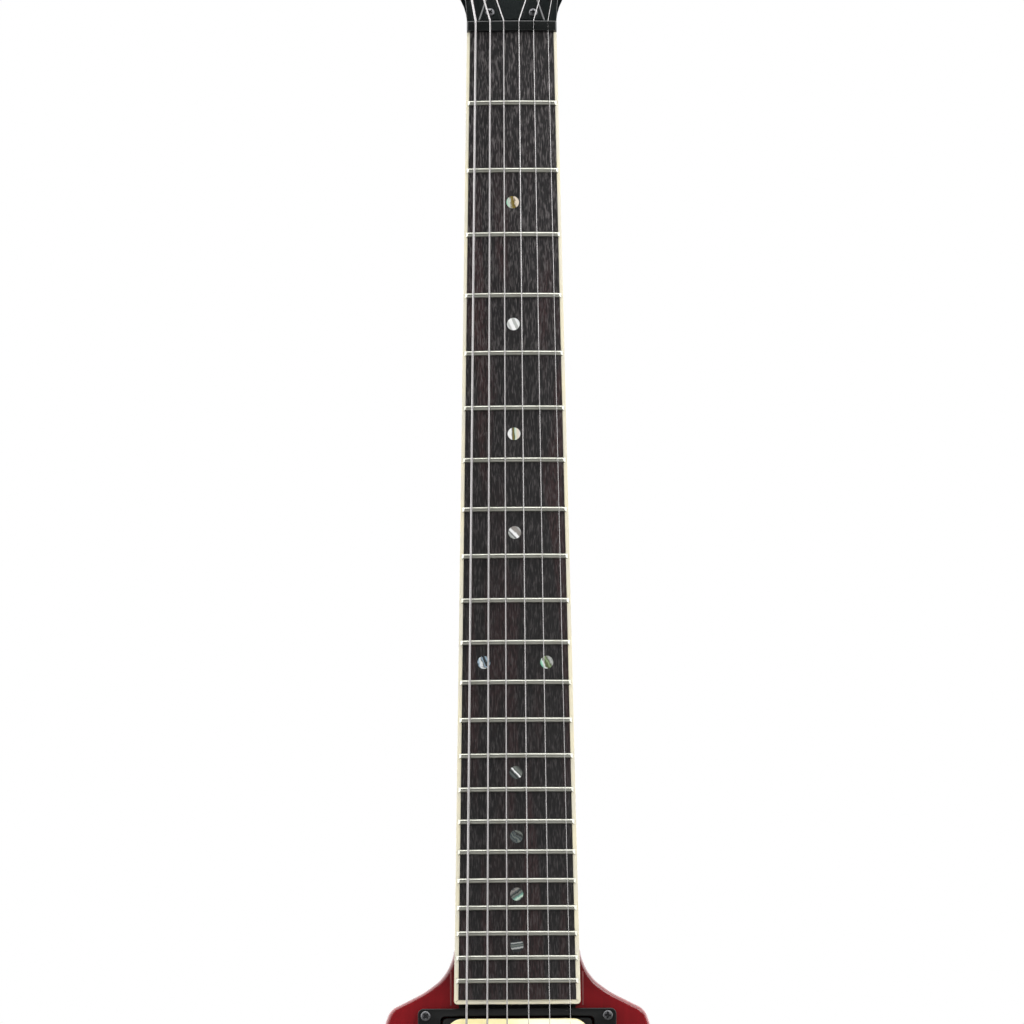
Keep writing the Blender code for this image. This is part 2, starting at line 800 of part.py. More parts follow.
def build_truss_rod(neck, head):
    """The truss rod in its channel, its nut and the cover over it."""
    middle = ROD_DEPTH - ROD_NUT_RADIUS + ROD_NUT_OFFSET / 2
    rod = box(
        "truss_rod",
        (-ROD_WIDTH / 2, ROD_WIDTH / 2),
        (FIT, ROD_DEPTH + FIT),
        (ROD_START, NUT_BACK - NUT_THICKNESS),
    )
    rod = new_piece("truss_rod", rod, "plain steel", neck)
    nut_low = NUT_BACK + ROD_NUT_OFFSET
    end = nut_low + ROD_NUT_LENGTH - FIT
    stud = rods(
        "rod stud",
        [((0, middle, BOARD_LENGTH - NUT_THICKNESS), (0, middle, end))],
        ROD_STUD_RADIUS,
        8,
    )
    join(rod, new_helper("rod stud", stud, neck))

    bore = ROD_STUD_RADIUS + FIT
    profile = [
        (bore, ROD_NUT_LENGTH),
        (ROD_NUT_RADIUS, ROD_NUT_LENGTH),
        (ROD_NUT_RADIUS, 0),
        (bore, 0),
    ]
    nut = new_piece(
        "truss_rod_nut",
        turned("truss_rod_nut", profile, ring=True),
        "brass",
        neck,
        Matrix.Translation((0, middle, nut_low)),
    )
    turn(nut, 8)

    front = -2 * SEAM - HEAD_PLATE_THICKNESS
    corners = [
        (COVER_WIDTH / 2, COVER_OFFSET, COVER_CORNER_RADIUS),
        (0, COVER_LENGTH, COVER_TIP_RADIUS),
        (-COVER_WIDTH / 2, COVER_OFFSET, COVER_CORNER_RADIUS),
    ]
    cover = front_plate(
        "truss_rod_cover", [rounded(corners)], front - COVER_THICKNESS, front
    )
    new_piece("truss_rod_cover", cover, "black plastic", head)


# Machine heads


def worm_mesh(name, hand):
    """A worm along X: each turn's points lie one pitch on, and the end turns have no thread."""
    root = WORM_PITCH_RADIUS - WORM_ROOT
    tip = WORM_PITCH_RADIUS + WORM_TIP
    shares, radii = (0.0, 0.44, 0.64, 0.80), (root, root, tip, tip)
    per_turn = len(shares)
    rows = (WORM_TURNS + 3) * per_turn
    shape = bmesh.new()
    grid = []
    for row in range(rows):
        lap, step = divmod(row, per_turn)
        along = (lap + shares[step] - (WORM_TURNS + 3) / 2) * WORM_PITCH
        plain = lap == 0 or lap > WORM_TURNS
        ring = []
        for side in range(WORM_SIDES):
            angle = 2 * math.pi * side / WORM_SIDES
            radius = root if plain else radii[step]
            y, z = radius * math.cos(angle), hand * radius * math.sin(angle)
            ring.append(shape.verts.new((along + WORM_PITCH * side / WORM_SIDES, y, z)))
        grid.append(ring)

    def vertex(row, side):
        return grid[row][side] if side < WORM_SIDES else grid[row + per_turn][0]

    for row in range(rows - per_turn - 1):
        for side in range(WORM_SIDES):
            corners = (
                vertex(row, side),
                vertex(row, side + 1),
                vertex(row + 1, side + 1),
                vertex(row + 1, side),
            )
            shape.faces.new(corners)
    last = rows - per_turn - 1
    for row, beyond in ((0, -WORM_PITCH), (last, WORM_PITCH)):
        rim = [vertex(row, side) for side in range(WORM_SIDES)]
        rim += [vertex(row + step, 0) for step in range(per_turn, 0, -1)]
        middle = sum(point.co.x for point in rim) / len(rim)
        hub = shape.verts.new((middle + beyond, 0, 0))
        for here, there in zip(rim, rim[1:] + rim[:1]):
            shape.faces.new((here, there, hub))
    spare = [point for point in shape.verts if not point.link_faces]
    bmesh.ops.delete(shape, geom=spare, context="VERTS")
    bmesh.ops.recalc_face_normals(shape, faces=shape.faces)
    return new_mesh(name, shape)


def wheel_radius():
    """The worm wheel's pitch radius."""
    return WHEEL_TEETH * WORM_PITCH / (2 * math.pi)


def build_tuner(number, x, z, side, head):
    """One machine head: post with worm wheel, key with worm, and housing with its bushing."""
    turned_by = -side * KEY_TURN if side > 0 else math.pi - side * KEY_TURN
    place = Matrix.Translation((x, HEAD_THICKNESS, z)) @ Matrix.Rotation(turned_by, 4, "Y")
    frame = new_frame(f"tuner_frame_{number}", head, place)
    # The worm lies on the side of the post that faces the nut.
    worm_side = -side
    worm_distance = worm_side * (wheel_radius() + WORM_PITCH_RADIUS)

    top = HEAD_THICKNESS + HEAD_PLATE_THICKNESS + POST_HEIGHT
    stub = 0.5 * POST_RADIUS
    profile = [
        (0, top),
        (POST_RADIUS - POST_CHAMFER, top),
        (POST_RADIUS, top - POST_CHAMFER),
        (POST_RADIUS, WHEEL_THICKNESS / 2 - WHEEL_DEPTH),
        (stub, WHEEL_THICKNESS / 2 - WHEEL_DEPTH - POST_CHAMFER),
        (stub, FIT + HOUSING_WALL - HOUSING_DEPTH),
        (0, FIT + HOUSING_WALL - HOUSING_DEPTH),
    ]
    name = f"tuner_post_{number}"
    post = new_piece(name, turned(name, profile), "nickel", frame, FACE_FRONT)
    turn(post)
    teeth = []
    for index in range(2 * WHEEL_TEETH):
        angle = math.pi * index / WHEEL_TEETH + math.pi / 2
        reach = wheel_radius() + (WHEEL_TIP if index % 2 else -WHEEL_ROOT)
        teeth.append((reach * math.cos(angle), reach * math.sin(angle)))
    low, high = grow(-WHEEL_DEPTH, -WHEEL_DEPTH, WHEEL_THICKNESS / 2)
    wheel = plate(f"worm wheel {number}", [teeth], low, high)
    join(post, new_helper(wheel.name, wheel, frame, FACE_FRONT))

    name = f"tuner_key_{number}"
    key_place = Matrix.Translation((0, WHEEL_DEPTH, worm_distance))
    shape = bmesh.new()
    bmesh.ops.create_uvsphere(shape, u_segments=10, v_segments=6, radius=0.5)
    size = (KEY_WIDTH, KEY_THICKNESS, KEY_LENGTH)
    bmesh.ops.scale(shape, vec=size, verts=shape.verts)
    lie = Matrix.Translation((KEY_REACH, 0, 0)) @ Matrix.Rotation(math.pi / 2, 4, "Y")
    bmesh.ops.transform(shape, matrix=lie, verts=shape.verts)
    key = new_piece(name, new_mesh(name, shape), "nickel", frame, key_place)
    reach = WORM_PITCH * (WORM_TURNS + 1) / 2
    shaft = rods(
        f"key shaft {number}",
        [((reach, 0, 0), (KEY_REACH, 0, 0))],
        KEY_SHAFT_RADIUS,
        8,
    )
    join(key, new_helper(shaft.name, shaft, frame, key_place))
    worm = worm_mesh(f"worm {number}", worm_side)
    join(key, new_helper(worm.name, worm, frame, key_place))

    name = f"tuner_housing_{number}"
    worm_reach = abs(worm_distance) + HOUSING_WORM_SIDE
    across = sorted((worm_side * worm_reach, -worm_side * HOUSING_SIDE))
    housing = box(name, (-HOUSING_INNER, HOUSING_OUTER), (SEAM, HOUSING_DEPTH), across)
    housing = new_piece(name, housing, "nickel", frame)
    inside = box(
        f"housing room {number}",
        (-2 * HOUSING_INNER, HOUSING_OUTER - HOUSING_WALL),
        (SEAM + HOUSING_WALL, HOUSING_DEPTH - HOUSING_WALL),
        (across[0] + HOUSING_WALL, across[1] - HOUSING_WALL),
    )
    cut(housing, new_helper(inside.name, inside, frame))
    face = HEAD_THICKNESS + HEAD_PLATE_THICKNESS + SEAM
    profile = [
        (0, face + BUSHING_WASHER),
        (BUSHING_RADIUS, face + BUSHING_WASHER),
        (BUSHING_WASHER_RADIUS, face + BUSHING_WASHER / 2),
        (BUSHING_WASHER_RADIUS, face + SEAM),
        (BUSHING_RADIUS, face + SEAM),
        (BUSHING_RADIUS, -SEAM - HOUSING_WALL / 2),
        (0, -SEAM - HOUSING_WALL / 2),
    ]
    name = f"bushing {number}"
    bushing = turn(new_helper(name, turned(name, profile), frame, FACE_FRONT))
    join(housing, bushing)
    bore = rods(
        f"bushing bore {number}",
        [((0, -2 * top, 0), (0, HOUSING_DEPTH / 2, 0))],
        POST_RADIUS + FIT,
    )
    cut(housing, new_helper(bore.name, bore, frame))
    hole = rods(
        f"shaft hole {number}",
        [((0, WHEEL_DEPTH, worm_distance), (2 * HOUSING_OUTER, WHEEL_DEPTH, worm_distance))],
        KEY_SHAFT_RADIUS + FIT,
        8,
    )
    cut(housing, new_helper(hole.name, hole, frame))


# Strings


def string_at_nut(string):
    """Where a string leaves the back of the nut, in the neck's frame."""
    x = string_x(string, STRING_SPREAD_AT_NUT)
    height = BOARD_THICKNESS + STRING_HEIGHT_AT_NUT + string_radius(string)
    return Vector((x, crown(x) - height, NUT_BACK))


def string_at_saddle(string):
    """Where a string bends over its saddle, in the guitar's frame."""
    x = string_x(string, STRING_SPREAD_AT_BRIDGE)
    height = BOARD_THICKNESS + STRING_HEIGHT_AT_BRIDGE + string_radius(string)
    z = BOARD_LENGTH - SCALE_LENGTH + SADDLE_OFFSETS[string - 1]
    return NECK @ Vector((x, crown(x) - height, z))


def winding(string, x, z, side):
    """The loops of a string round its post, from where it meets the post, in the guitar's frame."""
    start = HEAD.inverted() @ NECK @ string_at_nut(string)
    reach = POST_RADIUS + FIT + string_radius(string)
    to_nut = Vector((start.x - x, start.z - z))
    lean = math.atan2(to_nut.y, to_nut.x)
    first = lean + side * -1 * math.acos(reach / to_nut.length)
    rise = STRING_GAUGES[string - 1] + STRING_LOOP_GAP
    points = []
    for step in range(STRING_LOOPS * STRING_LOOP_POINTS + 1):
        angle = first - side * 2 * math.pi * step / STRING_LOOP_POINTS
        lift = STRING_LIFT_AT_POST + rise * step / STRING_LOOP_POINTS
        y = -SEAM - HEAD_PLATE_THICKNESS - lift
        points.append((x + reach * math.cos(angle), y, z + reach * math.sin(angle)))
    return [HEAD @ Vector(point) for point in points]


def least_loop_gap(points, radius):
    """The least gap between one loop and the next, measured on its points."""
    return min(
        (points[index] - points[index + STRING_LOOP_POINTS]).length - 2 * radius
        for index in range(len(points) - STRING_LOOP_POINTS)
    )


def build_strings(guitar):
    """Six strings, each one wire from the back of the body to its last loop round the post."""
    for number, x, z, side in post_places():
        radius = string_radius(number)
        across = string_x(number, STRING_SPREAD_AT_BRIDGE)
        hole = STRING_PLATE_HEIGHT
        seat = BODY_THICKNESS - BALL_HOLE_DEPTH
        nut_back = string_at_nut(number)
        loops = winding(number, x, z, side)
        points = [
            Vector((across, seat, hole)),
            Vector((across, -STRING_PLATE_THICKNESS - radius, hole)),
            string_at_saddle(number),
            NECK @ (nut_back - Vector((0, 0, NUT_THICKNESS))),
            NECK @ nut_back,
            *loops,
        ]
        name = f"string_{number}"
        wire = tube(name, points, radius)
        new_piece(name, wire, "string steel" if number < 4 else "wound nickel", guitar)
        print(f"{name}: least gap between its loops {least_loop_gap(loops, radius):.5f} m")


# Body


def body_outline():
    """The body's outline, from its top by the neck round both wings."""
    half = [
        (HEEL_WIDTH / 2, SHOULDER_TOP, 0),
        (HEEL_WIDTH / 2, SHOULDER_CREASE, SHOULDER_HOLLOW_RADIUS),
        (SHOULDER_WIDTH / 2, -SHOULDER_DROP, SHOULDER_RADIUS),
        (WING_SPAN / 2, -WING_TIP_DROP, WING_TIP_RADIUS),
        (WING_INNER_SPAN / 2, -WING_INNER_DROP, WING_INNER_RADIUS),
    ]
    return rounded(both_sides(half, [(0, -NOTCH_DROP, NOTCH_RADIUS)]))


def string_holes(name, front, back, radius):
    """Cutters for the six string holes."""
    z = STRING_PLATE_HEIGHT
    xs = [string_x(string, STRING_SPREAD_AT_BRIDGE) for string in range(1, STRING_COUNT + 1)]
    return rods(name, [((x, front, z), (x, back, z)) for x in xs], radius, 8)


def strap_places():
    """The place of each strap button, its Z axis pointing out of the body."""
    top = Vector((SHOULDER_WIDTH / 2, -SHOULDER_DROP))
    tip = Vector((WING_SPAN / 2, -WING_TIP_DROP))
    on_edge = top.lerp(tip, STRAP_WING_SHARE)
    down = tip - top
    out = math.atan2(down.y, down.x)
    wing = Matrix.Translation((-on_edge.x, BODY_THICKNESS / 2, on_edge.y))
    wing @= Matrix.Rotation(out, 4, "Y")
    heel = Matrix.Translation((0, BODY_THICKNESS, -STRAP_HEEL_DROP)) @ FACE_BACK
    return {"strap_button_heel": heel, "strap_button_wing": wing}


def build_body(guitar, controls):
    """The body with its pocket, routs and holes."""
    body = front_plate("body", [body_outline()], 0, BODY_THICKNESS)
    body = new_piece("body", body, "red lacquer", guitar)
    round_edges(body, BODY_EDGE_RADIUS, 2)

    deep = 2 * BODY_THICKNESS
    rout = NECK_RING_CENTRE + ROUT_LENGTH / 2
    tongue = rout - TENON_TONGUE - FIT
    pocket = [
        (-deep, deep),
        (-deep, rout - FIT),
        (ROUT_DEPTH - FIT, rout - FIT),
        (ROUT_DEPTH - FIT, tongue),
        (TENON_DEPTH + FIT, tongue),
        (TENON_DEPTH + FIT, deep),
    ]
    pocket = side_plate("neck pocket", pocket, TENON_WIDTH / 2 + FIT)
    cut(body, new_helper("neck pocket", pocket, guitar))
    for name, centre in (("neck", NECK_RING_CENTRE), ("bridge", BRIDGE_RING_CENTRE)):
        outline = rounded_box(ROUT_WIDTH, ROUT_LENGTH, ROUT_CORNER_RADIUS, (0, centre))
        name = f"{name} pickup rout"
        cut(body, new_helper(name, front_plate(name, [outline], -deep, ROUT_DEPTH), guitar))

    post = BRIDGE_POST_DEPTH + BRIDGE_TRAVEL + FIT
    z = BRIDGE_HEIGHT
    ends = [((x, -deep, z), (x, post, z)) for x in (-POST_SPREAD / 2, POST_SPREAD / 2)]
    holes = rods("bridge post holes", ends, BRIDGE_POST_RADIUS + FIT)
    cut(body, new_helper("bridge post holes", holes, guitar))
    holes = string_holes("string holes", -deep, deep, STRING_HOLE_RADIUS)
    cut(body, new_helper("string holes", holes, guitar))
    outline = rounded_box(
        STRING_PLATE_WIDTH + 2 * FIT,
        STRING_PLATE_LENGTH + 2 * FIT,
        STRING_PLATE_RADIUS + FIT,
        (0, STRING_PLATE_HEIGHT),
    )
    seat = BODY_THICKNESS - FERRULE_BLOCK_DEPTH - SEAM
    room = front_plate("ferrule block room", [outline], seat, deep)
    cut(body, new_helper("ferrule block room", room, guitar))

    length = CAVITY_LENGTH
    middle = (0, CAVITY_MARGIN - length / 2)
    outline = rounded_box(CAVITY_WIDTH, length, CAVITY_CORNER_RADIUS, middle)
    cavity = front_plate("control cavity", [outline], CAVITY_ROOF, deep)
    cut(body, new_helper("control cavity", cavity, controls))
    lip = 2 * (COVER_PLATE_LIP + FIT)
    corner = CAVITY_CORNER_RADIUS + COVER_PLATE_LIP + FIT
    outline = rounded_box(CAVITY_WIDTH + lip, length + lip, corner, middle)
    seat = BODY_THICKNESS - COVER_PLATE_THICKNESS - SEAM
    recess = front_plate("cover recess", [outline], seat, deep)
    cut(body, new_helper("cover recess", recess, controls))
    for name, ways, radius in (
        ("potentiometer holes", (0, 1, 2), POT_BUSH_RADIUS),
        ("switch hole", (3,), SWITCH_BUSH_RADIUS),
    ):
        ends = [
            ((0, -deep, -way * CONTROL_PITCH), (0, 2 * CAVITY_ROOF, -way * CONTROL_PITCH))
            for way in ways
        ]
        cut(body, new_helper(name, rods(name, ends, radius + FIT), controls))
    jack = -3 * CONTROL_PITCH - JACK_PITCH
    ends = [((0, -deep, jack), (0, 2 * CAVITY_ROOF, jack))]
    hole = rods("jack hole", ends, JACK_BARREL_RADIUS + FIT)
    cut(body, new_helper("jack hole", hole, controls))

    from_rout = Vector((0, CHANNEL_DEPTH, NECK_RING_CENTRE))
    to_rout = Vector((0, CHANNEL_DEPTH, BRIDGE_RING_CENTRE))
    to_cavity = CONTROLS @ Vector((0, CHANNEL_DEPTH, 0))
    corner = Vector((0.3 * ROUT_WIDTH, CHANNEL_DEPTH, BRIDGE_RING_CENTRE))
    for name, start, end in (
        ("pickup channel", from_rout, to_rout),
        ("control channel", corner, to_cavity),
    ):
        channel = rods(name, [(start, end)], CHANNEL_RADIUS, 8)
        cut(body, new_helper(name, channel, guitar))
    for name, place in strap_places().items():
        name = f"{name} hole"
        ends = [((0, 0, -STRAP_SCREW_LENGTH - FIT), (0, 0, STRAP_SCREW_LENGTH))]
        hole = rods(name, ends, STRAP_SCREW_RADIUS + FIT, 8)
        cut(body, new_helper(name, hole, guitar, place))


def build_strap_buttons(guitar):
    """Two strap buttons, each with its screw."""
    for name, place in strap_places().items():
        profile = [
            (0, STRAP_HEIGHT),
            (STRAP_HEAD_RADIUS - STRAP_CHAMFER, STRAP_HEIGHT),
            (STRAP_HEAD_RADIUS, STRAP_HEIGHT - STRAP_CHAMFER),
            (STRAP_HEAD_RADIUS, STRAP_HEIGHT - STRAP_CHAMFER - STRAP_RIM),
            (STRAP_WAIST_RADIUS, 0.6 * STRAP_HEIGHT),
            (STRAP_WAIST_RADIUS, 0.25 * STRAP_HEIGHT),
            (STRAP_FOOT_RADIUS, SEAM + STRAP_CHAMFER),
            (STRAP_FOOT_RADIUS, SEAM),
            (STRAP_SCREW_RADIUS, SEAM),
            (STRAP_SCREW_RADIUS, -STRAP_SCREW_LENGTH),
            (0, -STRAP_SCREW_LENGTH),
        ]
        turn(new_piece(name, turned(name, profile), "nickel", guitar, place), KNOB_SIDES)


# Pickups


def build_pickup(name, centre, ring_height, guitar):
    """A pickup that stands in its ring, and the ring."""
    hole = rounded_box(
        PICKUP_WIDTH + 2 * FIT, PICKUP_LENGTH + 2 * FIT, PICKUP_CORNER_RADIUS, (0, centre)
    )
    outer = rounded_box(RING_WIDTH, RING_LENGTH, RING_CORNER_RADIUS, (0, centre))
    ring = front_plate(f"{name}_pickup_ring", [outer, hole], -ring_height, -SEAM)
    new_piece(f"{name}_pickup_ring", ring, "black plastic", guitar)

    piece_name = f"{name}_pickup"
    top = -ring_height - PICKUP_STAND
    case = rounded_box(PICKUP_WIDTH, PICKUP_LENGTH, PICKUP_CORNER_RADIUS)
    case = front_plate(piece_name, [case], 0, PICKUP_DEPTH)
    place = Matrix.Translation((0, top + BOBBIN_HEIGHT, centre))
    piece = new_piece(piece_name, case, "cream plastic", guitar, place)
    for side in (-1, 1):
        outline = rounded_box(
            BOBBIN_WIDTH,
            BOBBIN_LENGTH,
            BOBBIN_RADIUS,
            (0, side * (BOBBIN_LENGTH / 2 + 2 * FIT)),
        )
        bobbin = f"{name} bobbin {side}"
        mesh = front_plate(bobbin, [outline], -BOBBIN_HEIGHT, BOBBIN_HEIGHT / 2)
        join(piece, new_helper(bobbin, mesh, guitar, place))


# Bridge


def bridge_front():
    """The bridge bar's front face: the outer strings run a saddle's rise in front of it."""
    lowest = max(
        string_at_saddle(string).y + string_radius(string)
        for string in (1, STRING_COUNT)
    )
    return lowest + SADDLE_RISE


def build_saddle(string, front, guitar):
    """A saddle in the bridge's trough, with a bore for its screw."""
    at = string_at_saddle(string)
    ridge = at.y + string_radius(string) + SEAM
    floor = front + BRIDGE_TROUGH_DEPTH - FIT
    place = Matrix.Translation((at.x, floor, at.z))
    outline = [
        (0, -SADDLE_LENGTH / 2),
        (0, SADDLE_LENGTH / 2),
        (front - floor, SADDLE_LENGTH / 2),
        (ridge - floor, SADDLE_RIDGE / 2),
        (ridge - floor, -SADDLE_RIDGE / 2),
        (front - floor, -SADDLE_LENGTH / 2),
    ]
    name = f"saddle_{string}"
    saddle = side_plate(name, outline, SADDLE_WIDTH / 2)
    saddle = new_piece(name, saddle, "brass", guitar, place)
    y = -BRIDGE_TROUGH_DEPTH / 2 + FIT
    ends = [((0, y, -SADDLE_LENGTH), (0, y, SADDLE_LENGTH))]
    bore = rods(f"saddle bore {string}", ends, SADDLE_SCREW_RADIUS + FIT, 8)
    cut(saddle, new_helper(bore.name, bore, guitar, place))


def build_bridge(guitar):
    """The bridge bar with its screws, its saddles and the two posts that it stands on."""
    front = bridge_front()
    z = BRIDGE_HEIGHT
    half = POST_SPREAD / 2
    outline = rounded_box(BRIDGE_WIDTH, BRIDGE_LENGTH, BRIDGE_CORNER_RADIUS)
    bar = front_plate("bridge", [outline], 0, BRIDGE_THICKNESS)
    place = Matrix.Translation((0, front, z))
    bar = new_piece("bridge", bar, "nickel", guitar, place)
    pitch = STRING_SPREAD_AT_BRIDGE / (STRING_COUNT - 1)
    trough_half = STRING_SPREAD_AT_BRIDGE / 2 + pitch / 2
    trough = box(
        "saddle trough",
        (-trough_half, trough_half),
        (-BRIDGE_TROUGH_DEPTH, BRIDGE_TROUGH_DEPTH),
        (-BRIDGE_TROUGH_LENGTH / 2, BRIDGE_TROUGH_LENGTH / 2),
    )
    cut(bar, new_helper("saddle trough", trough, guitar, place))
    reach = (BRIDGE_TROUGH_LENGTH + BRIDGE_LENGTH) / 4
    xs = [string_x(string, STRING_SPREAD_AT_BRIDGE) for string in range(1, STRING_COUNT + 1)]
    y = BRIDGE_TROUGH_DEPTH / 2
    ends = [((x, y, -reach), (x, y, reach)) for x in xs]
    screws = rods("saddle screws", ends, SADDLE_SCREW_RADIUS, 8)
    join(bar, new_helper("saddle screws", screws, guitar, place))
    ends = [((x, -BRIDGE_THICKNESS, 0), (x, 2 * BRIDGE_THICKNESS, 0)) for x in (-half, half)]
    holes = rods("post holes", ends, BRIDGE_POST_TIP_RADIUS + FIT)
    cut(bar, new_helper("post holes", holes, guitar, place))
    for string in range(1, STRING_COUNT + 1):
        build_saddle(string, front, guitar)

    shelf = -front - BRIDGE_THICKNESS - FIT
    profile = [
        (0, -front + BRIDGE_POST_TIP),
        (BRIDGE_POST_TIP_RADIUS, -front + BRIDGE_POST_TIP),
        (BRIDGE_POST_TIP_RADIUS, shelf),
        (THUMBWHEEL_RADIUS, shelf),
        (THUMBWHEEL_RADIUS, shelf - THUMBWHEEL_THICKNESS),
        (BRIDGE_POST_RADIUS, shelf - THUMBWHEEL_THICKNESS),
        (BRIDGE_POST_RADIUS, -BRIDGE_POST_DEPTH),
        (0, -BRIDGE_POST_DEPTH),
    ]
    for name, x in (("bridge_post_bass", -half), ("bridge_post_treble", half)):
        place = Matrix.Translation((x, 0, z)) @ FACE_FRONT
        turn(new_piece(name, turned(name, profile), "nickel", guitar, place))


def build_string_anchors(guitar):
    """The plate that the strings run out of in front, and the block that holds them behind."""
    centre = (0, STRING_PLATE_HEIGHT)
    outline = rounded_box(STRING_PLATE_WIDTH, STRING_PLATE_LENGTH, STRING_PLATE_RADIUS, centre)
    thickness = STRING_PLATE_THICKNESS
    holes = string_holes("plate holes", -BODY_THICKNESS, 2 * BODY_THICKNESS, STRING_HOLE_RADIUS)
    holes = new_helper("plate holes", holes, guitar)
    front = front_plate("string_plate", [outline], -SEAM - thickness, -SEAM)
    front = new_piece("string_plate", front, "nickel", guitar)
    cut(front, holes)
    low = BODY_THICKNESS - FERRULE_BLOCK_DEPTH
    block = front_plate("ferrule_block", [outline], low, BODY_THICKNESS)
    block = new_piece("ferrule_block", block, "nickel", guitar)
    cut(block, holes)
    seat = BODY_THICKNESS - BALL_HOLE_DEPTH
    balls = string_holes("ball holes", seat, 2 * BODY_THICKNESS, BALL_HOLE_RADIUS)
    cut(block, new_helper("ball holes", balls, guitar))


# Controls


def control_place(distance):
    """The place of a control down its line on the treble wing, its Z axis pointing forward."""
    return Matrix.Translation((0, 0, -distance)) @ FACE_FRONT


def build_knob(name, pot_name, distance, controls):
    """A knob with its shaft, and the potentiometer that the shaft turns in."""
    place = control_place(distance)
    can = -CAVITY_ROOF - FIT
    profile = [
        (0, -KNOB_SHAFT_DEPTH - FIT),
        (POT_BORE_RADIUS, -KNOB_SHAFT_DEPTH - FIT),
        (POT_BORE_RADIUS, POT_BUSH_RISE),
        (POT_BUSH_RADIUS, POT_BUSH_RISE),
        (POT_BUSH_RADIUS, can),
        (POT_RADIUS, can),
        (POT_RADIUS, can - POT_HEIGHT),
        (0, can - POT_HEIGHT),
    ]
    pot = new_piece(pot_name, turned(pot_name, profile), "plain steel", controls, place)
    turn(pot, KNOB_SIDES)
    hollow = POT_BUSH_RISE + 2 * FIT
    profile = [
        (0, KNOB_HEIGHT),
        (0.72 * KNOB_RADIUS, KNOB_HEIGHT),
        (0.80 * KNOB_RADIUS, KNOB_HEIGHT - KNOB_CHAMFER),
        (0.88 * KNOB_RADIUS, 0.25 * KNOB_HEIGHT),
        (KNOB_RADIUS, 0.1 * KNOB_HEIGHT),
        (KNOB_RADIUS, 2 * FIT),
        (KNOB_HOLLOW_RADIUS, 2 * FIT),
        (KNOB_HOLLOW_RADIUS, hollow),
        (KNOB_SHAFT_RADIUS, hollow),
        (KNOB_SHAFT_RADIUS, -KNOB_SHAFT_DEPTH),
        (0, -KNOB_SHAFT_DEPTH),
    ]
    turn(new_piece(name, turned(name, profile), "black plastic", controls, place), KNOB_SIDES)


def build_switch(distance, controls):
    """The pickup switch: its frame in the cavity with the bushing, and the lever."""
    place = control_place(distance)
    roof = -CAVITY_ROOF
    wide, long = SWITCH_FRAME_WIDTH / 2, SWITCH_FRAME_LENGTH / 2
    top, low = roof - FIT, roof - FIT - SWITCH_FRAME_DEPTH
    wall = SWITCH_FRAME_WALL
    frame = box("switch_frame", (-wide, wide), (-long, long), (low, top))
    frame = new_piece("switch_frame", frame, "plain steel", controls, place)
    room = box(
        "switch room",
        (-2 * wide, 2 * wide),
        (wall - long, long - wall),
        (low + wall, top - wall),
    )
    cut(frame, new_helper("switch room", room, controls, place))
    profile = [
        (0, SWITCH_RISE + SWITCH_RISE),
        (SWITCH_BUSH_RADIUS, SWITCH_RISE + SWITCH_RISE),
        (SWITCH_BUSH_RADIUS, SWITCH_RISE),
        (SWITCH_WASHER_RADIUS, SWITCH_RISE),
        (SWITCH_WASHER_RADIUS, SEAM),
        (SWITCH_BUSH_RADIUS, SEAM),
        (SWITCH_BUSH_RADIUS, top - wall / 2),
        (0, top - wall / 2),
    ]
    bush = turned("switch bushing", profile)
    join(frame, turn(new_helper("switch bushing", bush, controls, place)))
    bore = rods(
        "switch bore",
        [((0, 0, low + 2 * wall), (0, 0, LEVER_HEIGHT))],
        SWITCH_BORE_RADIUS,
    )
    cut(frame, new_helper("switch bore", bore, controls, place))

    pivot = Matrix.Translation((0, LEVER_PIVOT_DEPTH, -distance)) @ FACE_FRONT
    tip, top = LEVER_TIP_RADIUS, LEVER_HEIGHT
    ball = SWITCH_BORE_RADIUS * math.cos(math.pi / ROUND_SIDES) - FIT
    rim = math.asin(LEVER_RADIUS / ball)
    angles = [rim + (math.pi - 2 * rim) * i / LEVER_BALL_SIDES for i in range(LEVER_BALL_SIDES + 1)]
    profile = [
        (0, top),
        (0.6 * tip, top - 0.1 * LEVER_TIP_LENGTH),
        (tip, top - 0.35 * LEVER_TIP_LENGTH),
        (0.8 * tip, top - 0.8 * LEVER_TIP_LENGTH),
        (LEVER_RADIUS, top - LEVER_TIP_LENGTH),
        *[(ball * math.sin(angle), ball * math.cos(angle)) for angle in angles],
        (LEVER_RADIUS, -LEVER_TAIL),
        (0, -LEVER_TAIL),
    ]
    lever = new_piece(
        "switch_lever", turned("switch_lever", profile), "cream plastic", controls, pivot
    )
    turn(lever)


def build_jack(distance, controls):
    """The output jack: a round plate and nut in front, and a barrel with the plug's bore."""
    low = -JACK_BARREL_DEPTH
    profile = [
        (JACK_BORE_RADIUS, JACK_NUT_RISE),
        (JACK_NUT_RADIUS, JACK_NUT_RISE),
        (JACK_NUT_RADIUS, JACK_FLANGE_THICKNESS),
        (JACK_FLANGE_RADIUS, JACK_FLANGE_THICKNESS),
        (JACK_FLANGE_RADIUS, SEAM),
        (JACK_BARREL_RADIUS, SEAM),
        (JACK_BARREL_RADIUS, low),
        (JACK_BORE_RADIUS, low),
    ]
    mesh = turned("output_jack", profile, ring=True)
    jack = new_piece("output_jack", mesh, "nickel", controls, control_place(distance))
    turn(jack, KNOB_SIDES)


